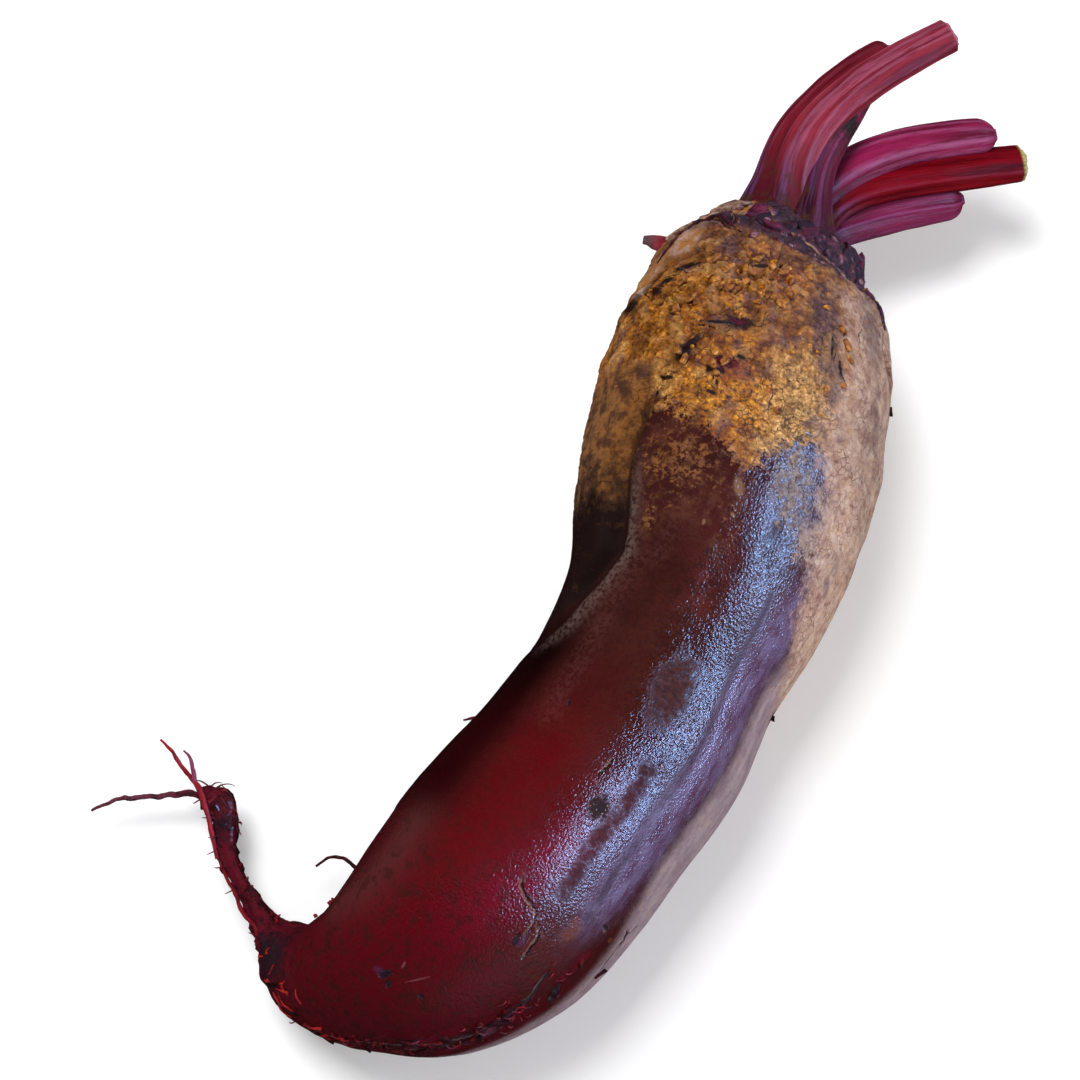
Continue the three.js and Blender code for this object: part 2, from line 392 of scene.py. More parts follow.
rootLook = {
    # arc length in mm and number of rings up to there
    "ringStops": [(0, 0), (64, 190), (92, 236), (231.5, 418)],
    "sides": 228,
    "topShare": 0.36,  # how much closer the points stand on top than underneath
    "creaseDepth": 3.2,
    "foldHeight": 1.1,
}


class Skin:
    # the root's surface as a grid, with the arc length from the crown and the angle from the top at each point
    def __init__(self, look):
        table, arcs = arcTable(rootStations)
        stops = np.array(look["ringStops"], float)
        stops[-1, 0] = arcs[-1]
        self.arc = np.interp(np.arange(stops[-1, 1] + 1), stops[:, 1], stops[:, 0])
        along = np.interp(self.arc, arcs, table)
        turn = np.linspace(-math.pi, math.pi, look["sides"], endpoint=False)
        self.angles = turn - look["topShare"] * np.sin(turn)
        plain = sweep(rootStations, along, self.angles)
        low = plain.min((0, 1))
        cadLow = np.array(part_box("root")[0]) / mm
        self.shift = np.array([cadLow[0] - low[0], cadLow[1] - low[1], 0.0])
        self.plain = plain + self.shift
        self.normals = gridNormals(self.plain)
        self.halves = curveAt(rootStations, along)[:, 3:5].mean(1)
        self.s = np.broadcast_to(self.arc[:, None], plain.shape[:2])
        self.a = np.broadcast_to(np.degrees(self.angles)[None], plain.shape[:2])
        self.across = np.radians(self.a) * self.halves[:, None]

    def unrolled(self, arc, angle):
        return arc, math.radians(angle) * float(np.interp(arc, self.arc, self.halves))

    def stroke(self, places):
        # signed distance in mm from a line drawn over the skin, and the share of the line that is nearest
        best = np.full(self.s.shape, 1e6)
        signed = np.zeros(self.s.shape)
        share = np.zeros(self.s.shape)
        flat = [self.unrolled(*place) for place in places]
        for number, (start, end) in enumerate(zip(flat, flat[1:])):
            ds, da = end[0] - start[0], end[1] - start[1]
            length = max(math.hypot(ds, da), 1e-9)
            t = np.clip(((self.s - start[0]) * ds + (self.across - start[1]) * da) / length**2, 0, 1)
            off = np.hypot(self.s - start[0] - t * ds, self.across - start[1] - t * da)
            side = np.sign((self.s - start[0]) * da - (self.across - start[1]) * ds)
            nearer = off < best
            best = np.where(nearer, off, best)
            signed = np.where(nearer, off * side, signed)
            share = np.where(nearer, (number + t) / (len(flat) - 1), share)
        return signed, share


skin = Skin(rootLook)

# Lines over the root: arc length from the crown in mm and angle from the top in degrees
creaseLine = [
    (46, -36), (51.6, -39.5), (56.9, -43.5), (62.3, -47), (69.2, -46), (75, -43.5), (84.2, -42), (89.3, -48),
    (93.1, -56.5), (97.7, -63), (103, -80),
]
foldLine = [(50, -30), (54, -33), (63, -38.5), (73, -36.5), (84, -32.5), (93, -39), (101, -47), (108, -60)]


def alongRoot(skin, arcs, values):
    # a number that changes with the arc length
    return np.interp(skin.arc, arcs, values)[:, None]


def aroundRoot(skin, angles, values):
    # a number that changes with the angle
    return np.interp(skin.a[0], angles, values)[None]


def patch(skin, arc, angle, long, wide):
    # a soft oval patch; the sizes are in mm of arc and in degrees
    return np.exp(-(((skin.s - arc) / long) ** 2) - ((skin.a - angle) / wide) ** 2)


def patches(skin, *spots, start=0.0):
    # several such patches, each after its strength
    total = start
    for strength, arc, angle, long, wide in spots:
        total = total + strength * patch(skin, arc, angle, long, wide)
    return total


def band(skin, lines):
    # soft cover of strokes; each is a line and its half width in mm
    best = np.zeros(skin.s.shape)
    for line, width in lines:
        best = np.maximum(best, bell(skin.stroke(line)[0], width))
    return best


def nearestMark(skin, places):
    # at each point, where it lies inside the nearest oval mark, in half sizes, and how far off that is
    best = np.full((*skin.s.shape, 3), 1e3)
    for arc, angle, long, wide, turn in places:
        s0, a0 = skin.unrolled(arc, angle)
        c, n = math.cos(math.radians(turn)), math.sin(math.radians(turn))
        ds, da = skin.s - s0, skin.across - a0
        u, v = (ds * c + da * n) / long, (da * c - ds * n) / wide
        off = np.hypot(u, v)
        best = np.where((off < best[..., 2])[..., None], np.stack([u, v, off], -1), best)
    return best


def nearestLine(skin, lines):
    # at each point, the signed distance in mm from the nearest line, and how near its ends that is, from 0 to 1
    found = np.full((*skin.s.shape, 3), 1e3)
    for line in lines:
        off, share = skin.stroke(line)
        nearer = np.abs(off) < found[..., 2]
        found = np.where(nearer[..., None], np.stack([off, np.sin(math.pi * share), np.abs(off)], -1), found)
    return found


# Zones of the skin that are soft ovals: strength, arc and angle of the middle, size in mm of arc and in degrees
zoneSpots = {
    "flecks": [(0.8, 63, -18, 6, 22), (0.9, 77, -26, 3, 3.4), (0.5, 70, -20, 8, 22), (0.5, 75, 8, 6, 8)],
    "scales": [(1, 62, 26, 7, 15), (0.6, 70, 30, 6, 14), (0.9, 72, 42, 4, 7)],
    "collar": [
        (1, 10, -34, 3.0, 24), (0.9, 18.5, -42, 3.2, 9), (0.8, 22.5, -57, 3, 7), (0.9, 12, -62, 4, 16),
        (0.7, 14, 92, 4, 14),
    ],
    "magenta": [(1, 14.5, 1, 1.7, 9), (1, 19.5, 62, 3.5, 6), (0.7, 12, 24, 3, 8), (0.8, 15, -56, 3, 6)],
    "dusk": [(1.1, 105, 17, 9, 14), (0.35, 153, 42, 5, 14), (0.6, 130, 27, 5, 4), (0.2, 96, -6, 14, 12)],
    "flush": [(0.5, 80, 8, 12, 12), (0.5, 88, 6, 6, 8)],
    # painted sheen: the pink cast of the lower highlight band
    "paintedPinkSheen": [(1, 140, 18, 9, 8), (0.6, 152, 12, 8, 12)],
    "dirt": [(1, 193, 30, 5, 34), (0.8, 186, -60, 5, 30), (0.7, 206, -40, 6, 40), (0.6, 222, 0, 6, 90)],
    "gold": [(1, 51, -14, 3.6, 22), (0.8, 54, 10, 5, 16), (0.9, 58.5, -4, 2, 5), (0.5, 31, -10, 3, 12)],
    "plum": [
        (0.5, 73, 60, 6, 8), (0.8, 30, 54, 9, 10), (0.6, 50, 60, 10, 8), (1, 32, 27, 7, 8), (0.9, 40, 28, 5, 6),
        (0.7, 46, 35, 4, 5), (0.7, 21, -18, 4, 7), (0.6, 40, 8, 4, 8),
    ],
    "rust": [
        (1, 48, -5, 2.4, 8), (1, 58.5, -5, 2, 5), (0.7, 26, 14, 4, 9), (0.6, 39, 40, 3, 5),
        (0.5, 35, -26, 5, 14),
    ],
}
# Zones that are soft strokes: the points of each line as arc and angle, and its half width in mm
zoneStrokes = {
    # painted shade in the groove beside the highlight
    "seam": [
        ([(82, 35.5), (96, 38), (108, 39.5), (114, 40.5)], 0.7),
        ([(114, 40.5), (124, 42), (134, 44), (146, 48)], 1.2),
    ],
    # painted sheen low on the left flank
    "paintedLowSheen": [([(152, -42), (160, -36), (168, -32), (174, -34)], 4.5)],
    "wrinkle": [
        ([(83, 15), (88, 17), (94, 20)], 2.4), ([(93, 5), (98, 9)], 2.2), ([(90, -2), (96, 2)], 2.0),
        ([(103, 3), (110, 4), (117, 6)], 2.6),
    ],
}


def zonesOf(skin):
    # how much each point of the skin has of each finish or feature, or of painted shade or sheen, from 0 to 1
    s, a = skin.s, skin.a
    zones = {kind: patches(skin, *spots) for kind, spots in zoneSpots.items()}
    zones.update({kind: band(skin, strokes) for kind, strokes in zoneStrokes.items()})
    wave = lumpy(skin.plain, 9, 3, 3)
    corkEnd = aroundRoot(
        skin,
        [-180, -90, -60, -45, -38, -30, -20, -12, -7, -2, 3, 8, 13, 18, 25, 35, 45, 60, 90, 120, 180],
        [60, 74, 74, 66, 55.5, 54.5, 56, 57.5, 60, 61, 64.5, 64.5, 61.5, 59, 57, 58, 62, 64, 80, 74, 60],
    )
    zones["cork"] = 1 - smooth(-7, 6, s - corkEnd + wave * 1.4)
    tanStart = alongRoot(
        skin,
        [14, 20, 31, 41, 49, 56, 63, 70, 77, 83, 95, 231],
        [62, 46, 37, 36, 36, 38, 43, 46, 50, 55, 78, 150],
    )
    zones["tan"] = (
        smooth(-15, 15, a - tanStart + wave * 5) * (1 - smooth(140, 176, a)) * smooth(14, 28, s)
        * (1 - smooth(84, 112, s + wave * 4))
    )
    # painted reflection: a bluish band down the right side, beside the highlight
    zones["blue"] = bell(a - 49, 12) * smooth(68, 88, s) * (1 - smooth(138, 156, s))
    # the pale mauve flank: the skin's own pale colour, lightened and tinted with a painted bluish reflection
    mauveStart = alongRoot(skin, [76, 130, 150, 182], [52, 54, 68, 88])
    zones["mauve"] = (
        smooth(0, 18, a - mauveStart) * (1 - smooth(140, 176, a)) * smooth(76, 96, s)
        * (1 - smooth(160, 190, s))
    )
    border = alongRoot(skin, [40, 51, 62, 75, 84, 93, 103, 118], [-34, -38.5, -46, -43, -41.5, -55, -80, -110])
    zones["lobe"] = (
        smooth(1.0, -1.0, (a - border) / 4) * smooth(40, 52, s) * (1 - smooth(92, 110, s))
        * (1 - smooth(110, 150, -a))
    )
    zones["lobeDark"] = smooth(52, 82, s + wave * 4)
    crownEnd = aroundRoot(
        skin,
        [-180, -100, -64, -50, -30, -10, 0, 10, 20, 32, 50, 64, 76, 92, 120, 180],
        [6, 6, 7, 13, 15.5, 16.5, 17.5, 18.5, 20, 21, 22, 22, 19, 13, 8, 6],
    )
    zones["crown"] = 1 - smooth(-2.2, 2.2, s - crownEnd + wave)
    redder = alongRoot(skin, [100, 116, 128, 150, 164, 182], [0, 0.35, 0.85, 1, 0.6, 0.25])
    zones["red"] = redder * bell(a + 12 - (s - 126) * 0.22, 30) + 0.9 * patch(skin, 132, 27, 12, 8)
    zones["low"] = smooth(138, 160, s)
    dryLine = [([(119, 26.5), (126, 29), (136, 28.5), (145, 31)], 1.9)]
    zones["matt"] = patches(skin, (0.5, 72, 25, 4, 4), (1, 105.5, 15, 7.5, 10)) + 0.75 * band(skin, dryLine)
    # painted sheen: faint pale lines down the left of the body
    sheenLines = [
        ([(84, -24), (94, -28), (106, -29), (116, -27), (122, -23)], 2.2), ([(72, -14), (84, -17)], 2.0)
    ]
    zones["paintedSheen"] = 0.6 * band(skin, sheenLines)
    zones["tail"] = smooth(178, 198, s + wave * 2)
    # painted shade: the left flank darkened towards near-black, and towards dark red further down the root
    zones["paintedShade"] = (
        smooth(24, 50, -a + 4 * smooth(120, 150, s) - 8 * smooth(110, 90, s)) * smooth(84, 108, s)
        * (1 - 0.7 * smooth(140, 156, s))
    )
    # where the painted shade on the left flank turns dark red
    zones["paintedShadeRedShare"] = smooth(108, 134, s)
    zones["net"] = smooth(40, 50, s) * (1 - smooth(70, 84, s)) * bell(a - 12, 46)
    zones["straw"] = (
        bell(a - 22, 15) * smooth(37, 46, s) * (1 - smooth(60, 70, s)) + 0.6 * patch(skin, 50, -30, 5, 8)
    )
    zones["umber"] = patches(
        skin, (0.6, 27, -12, 5, 12), (0.5, 33, 10, 5, 14), (0.5, 43, -28, 4, 6), start=1 - smooth(19, 28, s)
    )
    zones["crownChips"] = zones["crown"] * bell(a - 24, 60) * smooth(4, 10, s)
    zones["chips"] = (
        patches(skin, (1, 29, 0, 8, 24), (0.6, 37, -32, 10, 18), (0.3, 42, 22, 9, 26)) * smooth(17, 22, s)
        * (1 - smooth(34, 42, a))
    )
    # painted shade along the crease's lower side, and painted sheen along the fold's ridge
    for key, line, aside, width, start in (
        ("creaseShade", creaseLine, 2.2, 3.0, (46, 56)), ("fold", foldLine, 0.6, 1.7, (60, 74))
    ):
        off, share = skin.stroke(line)
        ends = np.sin(math.pi * np.clip(share, 0.01, 0.99)) ** 0.4
        zones[key] = bell(off + aside, width) * ends * smooth(*start, s)
    return {key: np.clip(field, 0, 1) for key, field in zones.items()}


zones = zonesOf(skin)


# Shallow hollows that run along the smooth skin: the line, its depth and its half width in mm
hollows = [
    ([(60, 25), (68, 24.5), (76, 25.5), (82, 29)], 0.34, 1.5),
    ([(97, 20), (104, 20), (111, 21)], 0.25, 4.5),
    ([(117, 31), (122, 29), (130, 28), (138, 28.5), (147, 31)], 0.42, 2.8),
    ([(60, 44), (80, 46), (100, 48), (125, 47), (146, 46)], 0.15, 2.4),
    ([(100, -20), (115, -20), (130, -24)], 0.30, 4.0),
    ([(92, 38), (102, 41), (112, 43), (124, 44)], 0.22, 1.2),
    ([(76, 8), (84, 10), (92, 12)], 0.35, 3.0),
]


def reliefOf(skin, zones, look):
    s, a = skin.s, skin.a
    height = lumpy(skin.plain, 26, 5, 2) * 0.4 + lumpy(skin.plain, 9, 6, 2) * 0.08
    crease, share = skin.stroke(creaseLine)
    opening = np.sin(math.pi * np.clip(share * 0.96 + 0.02, 0, 1)) ** 0.6
    height -= look["creaseDepth"] * opening * np.where(crease > 0, bell(crease, 1.8), bell(crease, 4.2))
    fold, share = skin.stroke(foldLine)
    height += look["foldHeight"] * bell(fold, 2.2) * np.sin(math.pi * np.clip(share, 0.02, 0.98)) ** 0.5
    for line, depth, width in hollows:
        off, share = skin.stroke(line)
        height -= depth * bell(off, width) * np.sin(math.pi * np.clip(share, 0, 1)) ** 0.5
    height += zones["crown"] * (lumpy(skin.plain, 5, 8, 2) * 0.7 + lumpy(skin.plain, 2.0, 9, 3) * 0.45)
    height += zones["cork"] * lumpy(skin.plain, 7, 9, 3) * 0.35
    height -= 1.5 * patch(skin, 9, -58, 5, 24)  # the left shoulder falls away beside the stalks
    # leaf bases stand out on the right
    height += 3.0 * patch(skin, 8.5, 56, 4.5, 20) + 0.9 * patch(skin, 23, 74, 9, 22)
    height -= 0.8 * patch(skin, 19, 48, 2.5, 16)
    # rim round the crown
    height += 0.7 * band(skin, [([(21.5, -50), (15, -46), (12.5, -38), (13.5, -20), (14, -5)], 1.2)])
    # the tail thins on its inner side
    height -= (
        1.3 * bell(s - 204, 9) * bell(a + 80, 60) + 0.5 * bell(s - 212, 8)
        + 0.9 * bell(s - 222, 7) * bell(a - 80, 70)
    )
    height += 0.3 * smooth(172, 186, s) * lumpy(skin.plain, 5, 21, 2)
    height += 0.12 * smooth(186, 200, s) * np.sin(np.radians(3 * a) + s * 0.16) * skin.halves[:, None]
    return height


relief = reliefOf(skin, zones, rootLook)
grid = skin.plain + skin.normals * relief[..., None]
grid[..., 2] = np.maximum(grid[..., 2], 0.0)
print("beetroot: root shape ready")


class Paint(Nodes):
    # a material's nodes, with what every finish here needs
    def __init__(self, name):
        self.material = clearMaterial(name)
        super().__init__(self.material.node_tree)
        self.place = self.put("ShaderNodeTexCoord").outputs["Object"]

    def grain(self, size, detail=2.0, rough=0.5, place=None):
        inputs = {"Vector": place or self.place, "Scale": 1 / (size * mm), "Detail": detail, "Roughness": rough}
        return self.put("ShaderNodeTexNoise", inputs).outputs[0]

    def cells(self, size, feature="DISTANCE_TO_EDGE", place=None):
        inputs = {"Vector": place or self.place, "Scale": 1 / (size * mm)}
        return self.put("ShaderNodeTexVoronoi", inputs, feature=feature).outputs[0]

    def stretched(self, scale, turn):
        inputs = {"Vector": self.place, "Scale": scale, "Rotation": (0, 0, math.radians(turn))}
        return self.put("ShaderNodeMapping", inputs).outputs[0]

    def jittered(self, size, amount):
        # object coordinates pushed about by noise, for edges that wander
        inputs = {"Vector": self.place, "Scale": 1 / (size * mm), "Detail": 2.0}
        noise = self.put("ShaderNodeTexNoise", inputs).outputs["Color"]
        centred = self.vectors("SUBTRACT", noise, (0.5, 0.5, 0.5))
        return self.vectors("ADD", self.place, self.vectors("SCALE", centred, amount * mm))

    def field(self, name):
        return self.put("ShaderNodeAttribute", attribute_name=name).outputs["Fac"]

    def ramp(self, value, stops):
        # colours along a value, given as (value, colour)
        node = self.put("ShaderNodeValToRGB", {0: value})
        bar = node.color_ramp.elements
        for place, colour in stops[2:]:
            bar.new(place)
        for element, (place, colour) in zip(bar, stops):
            element.position, element.color = place, colour
        return node.outputs[0]

    def mark(self, name, noise, ragged, soft, reach=1.0):
        # the marks stored on the skin as a place inside the nearest oval and how far off it is; 1 inside
        place = self.put("ShaderNodeAttribute", attribute_name=name).outputs["Vector"]
        flat = self.vectors("MULTIPLY", place, (1, 1, 0))
        off = self.put("ShaderNodeVectorMath", {0: flat}, operation="LENGTH").outputs["Value"]
        off = self.plus(off, self.times(self.less(noise, 0.5), ragged))
        far = self.put("ShaderNodeSeparateXYZ", {0: place}).outputs["Z"]
        inside = self.fade(off, reach * (1 - soft), reach * (1 + soft), 1.0, 0.0)
        return self.times(inside, self.fade(far, 3.5, 4.5, 1.0, 0.0))

    def blendNumber(self, share, first, second):
        return self.put("ShaderNodeMix", {0: share, 2: first, 3: second}, data_type="FLOAT").outputs[0]

    def ragged(self, field, noise, reach=0.6, soft=0.12):
        # a soft zone given a torn edge by noise
        pushed = self.plus(field, self.times(self.less(noise, 0.5), reach))
        return self.fade(pushed, 0.5 - soft, 0.5 + soft)

    def bump(self, height, distance):
        return self.put(
            "ShaderNodeBump", {"Height": height, "Distance": distance * mm, "Strength": 1.0}
        ).outputs[0]

    def finish(self, colour, roughness, normal, gloss=0.5):
        # gloss is the shader's specular level, the same all over
        inputs = {"Base Color": colour, "Roughness": roughness, "Normal": normal, "Specular IOR Level": gloss}
        surface = self.put("ShaderNodeBsdfPrincipled", inputs)
        self.put("ShaderNodeOutputMaterial", {"Surface": surface.outputs[0]})
        return self.material


rootPaint = {
    "maroon": tint(66, 27, 24),
    "maroonDark": tint(50, 18, 17),
    "red": tint(92, 1, 12),
    "wine": tint(80, 5, 20),
    # painted shade, for the left flank and the matt patches
    "paintedShade": tint(14, 1, 2),
    "paintedShadeRed": tint(38, 1, 4),
    "dusk": tint(76, 28, 6),
    "duskDark": tint(46, 14, 3),
    # painted shade
    "seam": tint(58, 26, 44),
    "flush": tint(92, 34, 30),
    # painted sheen
    "paintedSheen": tint(96, 56, 54),
    "ochre": tint(172, 112, 50),
    "plum": tint(104, 76, 80),
    "plumDark": tint(72, 42, 48),
    "rust": tint(150, 76, 22),
    "umber": tint(92, 52, 36),
    "scale": tint(172, 158, 150),
    "crack": tint(62, 36, 26),
    "tan": tint(198, 168, 150),
    "tanDark": tint(142, 104, 88),
    "straw": tint(222, 176, 120),
    "rose": tint(150, 92, 84),
    "mauve": tint(172, 152, 160),
    "mauveDark": tint(142, 118, 132),
    # painted reflection colours for the bluish band
    "blue": tint(120, 106, 150),
    "paintedBlueReflectionDark": tint(88, 56, 90),
    "crownDark": tint(48, 24, 34),
    "magenta": tint(112, 20, 56),
    "lobe": tint(150, 96, 46),
    "lobeBrown": tint(88, 54, 34),
    # also the painted shade in the crease
    "lobeGrey": tint(30, 18, 17),
    # painted sheen along the fold's ridge
    "fold": tint(104, 84, 78),
    "tail": tint(92, 18, 32),
    "tailDark": tint(42, 14, 22),
    "tailDusk": tint(38, 22, 30),
    "hole": tint(34, 18, 10),
    "pit": tint(30, 5, 9),
    "rim": tint(86, 46, 18),
    "beige": tint(176, 138, 104),
    "collar": tint(188, 154, 140),
    "blood": tint(96, 10, 30),
    "amber": tint(140, 78, 48),
    "pale": tint(150, 108, 120),
    "violet": tint(74, 44, 84),
    # painted sheen
    "paintedPinkSheen": tint(118, 16, 44),
    # painted shade for the low spots of the cork
    "paintedCreviceShade": tint(58, 30, 14),
    "streakDark": tint(120, 78, 66),
    # painted light for the high spots of the cork
    "chip": tint(196, 142, 74),
}
rootRamps = {
    "cork": [
        (0.32, (64, 30, 4)), (0.41, (122, 64, 8)), (0.5, (170, 100, 20)), (0.59, (202, 134, 44)),
        (0.70, (236, 186, 108)),
    ],
    "gold": [(0.36, (154, 84, 2)), (0.5, (212, 134, 8)), (0.64, (240, 176, 44))],
    "straw": [(0.34, (170, 112, 46)), (0.48, (220, 162, 86)), (0.62, (248, 206, 142))],
    "tan": [(0.34, (160, 116, 96)), (0.45, (194, 154, 132)), (0.58, (216, 184, 164)), (0.7, (230, 206, 188))],
}
# painted shade and light: how much the cork is darkened or lightened along its finest grain, which also raises
# its bump
corkPaintedShadeAndLight = [
    (0.36, (0.14, 0.10, 0.08, 1)), (0.45, (0.76, 0.72, 0.68, 1)), (0.56, (1.08, 1.08, 1.08, 1)),
    (0.66, (1.75, 1.75, 1.7, 1)),
]

# Marks on the skin: arc and angle of the middle, half length and half width in mm, and turn in degrees
skinMarks = {
    "hole": [
        (43.6, -23.6, 2.5, 0.75, 130), (45.4, -26, 1.3, 0.9, 120), (39, -13.2, 2.4, 0.3, 88),
        (38.7, -6.2, 2.4, 1.0, 93), (31, -63, 3.0, 1.4, 70), (29.6, -48, 1.5, 0.8, 60),
        (27.6, -43, 1.3, 0.6, 100), (25, -35, 2.4, 0.5, 100), (48.2, -14, 0.7, 0.4, 20),
        (46.2, -11, 0.6, 0.5, 100), (47.0, -9, 0.5, 0.9, 60), (48.4, -10, 0.8, 0.3, 90),
        (47.2, -6.6, 0.5, 0.4, 30), (45.6, -3, 0.7, 0.35, 80), (49.6, -32.5, 0.7, 0.25, 60),
        (49.8, -29.5, 0.8, 0.3, 80), (52.4, -34, 0.45, 0.35, 0), (52.2, -11.6, 0.8, 0.3, 80),
        (50.5, -10, 0.5, 0.25, 20), (25.2, -2.4, 1.6, 0.4, 92), (39, 31, 1.8, 0.25, 8),
        (42, 36.5, 1.4, 0.3, 25), (35.4, 78, 1.2, 0.5, 20), (96.4, 87, 1.4, 0.7, 0), (118, -20, 0.5, 0.3, 30),
        (152.8, 31, 0.7, 0.35, 40), (144.5, 59.5, 0.3, 0.8, 0), (153.5, 68, 1.6, 0.6, 60),
        (153.4, 55, 0.9, 0.3, 20), (154.8, 57.5, 0.9, 0.35, 60), (156.2, 61, 1.1, 0.25, 30),
        (167.5, 16.5, 0.7, 0.6, 0), (165.4, 32.4, 0.5, 0.2, 100), (167.6, 22, 0.5, 0.3, 40),
        (159, 63.5, 1.9, 0.8, 20), (161.4, 68, 1.5, 0.9, 60), (163.6, 71, 1.4, 0.7, 30),
        (165.4, 66, 1.8, 0.5, 0), (168, 69, 1.6, 0.9, 10), (171, 64, 2.2, 0.5, 4), (172.6, 72, 1.6, 0.7, 0),
        (175.5, 66, 1.6, 0.4, 10), (179.6, 73, 2.0, 0.5, 0), (186, 62, 1.0, 0.5, 0), (190, 52, 1.6, 0.4, 40),
    ],
    "blood": [
        (38.4, -6.4, 1.7, 0.6, 93), (46.8, -7.8, 2.6, 1.0, 88), (149.5, 62.5, 1.3, 0.9, 20),
        (162, 69, 4.5, 1.4, 8), (170, 67, 5.5, 1.6, 4), (178, 71, 4.0, 1.0, 4), (174, 60, 2.0, 0.3, 20),
        (165, 74, 3.0, 0.7, 0),
    ],
    "amber": [
        (22, -2.6, 1.8, 0.8, 84), (26, 4.5, 0.9, 0.7, 30), (48.8, -5, 2.6, 0.9, 88), (148, 46, 1.7, 1.5, 20),
        (37.6, 54, 0.9, 0.5, 0), (32.5, 51.5, 1.2, 0.6, 40), (145, 68, 0.9, 0.4, 90),
    ],
    "pale": [
        (147.5, 14, 0.8, 0.22, 60), (148.8, 20, 1.7, 0.2, 92), (150.6, 33, 2.1, 0.2, 84),
        (127.2, 12, 0.4, 0.7, 0), (123.6, 10, 0.2, 0.9, 20), (164.6, 24, 1.3, 0.15, -21),
        (165.2, 15, 0.5, 0.2, 50), (138, 75, 3.2, 0.25, 10), (146, 74, 3.4, 0.25, 6),
    ],
    "beige": [
        (33, 4, 1.4, 0.7, 70), (37, 34, 0.5, 1.1, 30), (39, 38, 0.6, 1.0, 20), (75, -3, 0.5, 0.3, 0),
        (72.5, 7, 0.5, 0.3, 40), (67.6, 6, 1.6, 0.9, 30), (72, 39, 1.4, 0.9, 30), (75, 38, 1.0, 0.7, 0),
    ],
    "violet": [
        (54, 41.5, 0.9, 0.8, 0), (152.6, 33.5, 0.8, 0.6, 0), (167.8, 14.4, 0.5, 1.0, 30),
        (68, 41, 1.8, 1.2, 60), (76, 62, 1.4, 1.0, 40),
    ],
}
knotMark = [(130.4, 20, 2.0, 1.8, 20)]
rootFinish = {
    "holeDepth": 0.5,  # mm, as the next two
    "skinGrain": 0.085,
    "corkGrain": 0.55,
    "skinRoughness": (0.17, 0.23),
    "mattRoughness": 0.92,
    "mauveRoughness": 0.42,
    "corkRoughness": 0.72,
    "tanRoughness": 0.55,
    "crownRoughness": 0.6,
    "holeRoughness": 0.8,
    "gloss": 0.35,
}

# Fine cracks, and a painted shadow under the crown's rim drawn as one: arc and angle of the points of each
cracks = [
    [(147.3, 13), (148.5, 16), (149.1, 22), (149.3, 28), (150.6, 31), (152.5, 33)],
    [(150.2, 34), (151.6, 38), (154, 40)],
    [(138, 80), (142, 76), (146, 77.5), (150, 84)],
    [(141.4, 73), (143.4, 79)],
    [(144.3, 57.6), (144.7, 61.5)],
    [(153.0, 66), (154.0, 70)],
    [(152.6, 54), (154.4, 57), (156.6, 62)],
    [(157, 60), (160, 64.5), (164, 68), (169, 66), (175, 67), (181, 72), (186, 70)],
    [(163, 72), (169, 71.5), (176, 73)],
    [(38.9, -19), (39.1, -13), (38.8, -8)],
    [(36.4, 30), (38.4, 31.5), (40.2, 30.8)],
    [(41.2, 35), (42.2, 37), (44.2, 39.4)],
    [(31.4, 47), (33.4, 44), (36.6, 45)],
    [(23.6, 8), (25.6, 6), (27.6, 7.5)],
    [(28.0, -30), (25.6, -36), (24.2, -43)],
    [(47.5, 8), (50.6, 11), (54.6, 10)],
    [(121.6, 11.6), (123.6, 12.2), (126.4, 11.0)],
    # a painted shadow under the crown's rim
    [(20, -55), (18, -51), (14.6, -45), (14, -35), (14.8, -28), (16.4, -22), (17.6, -14)],
]


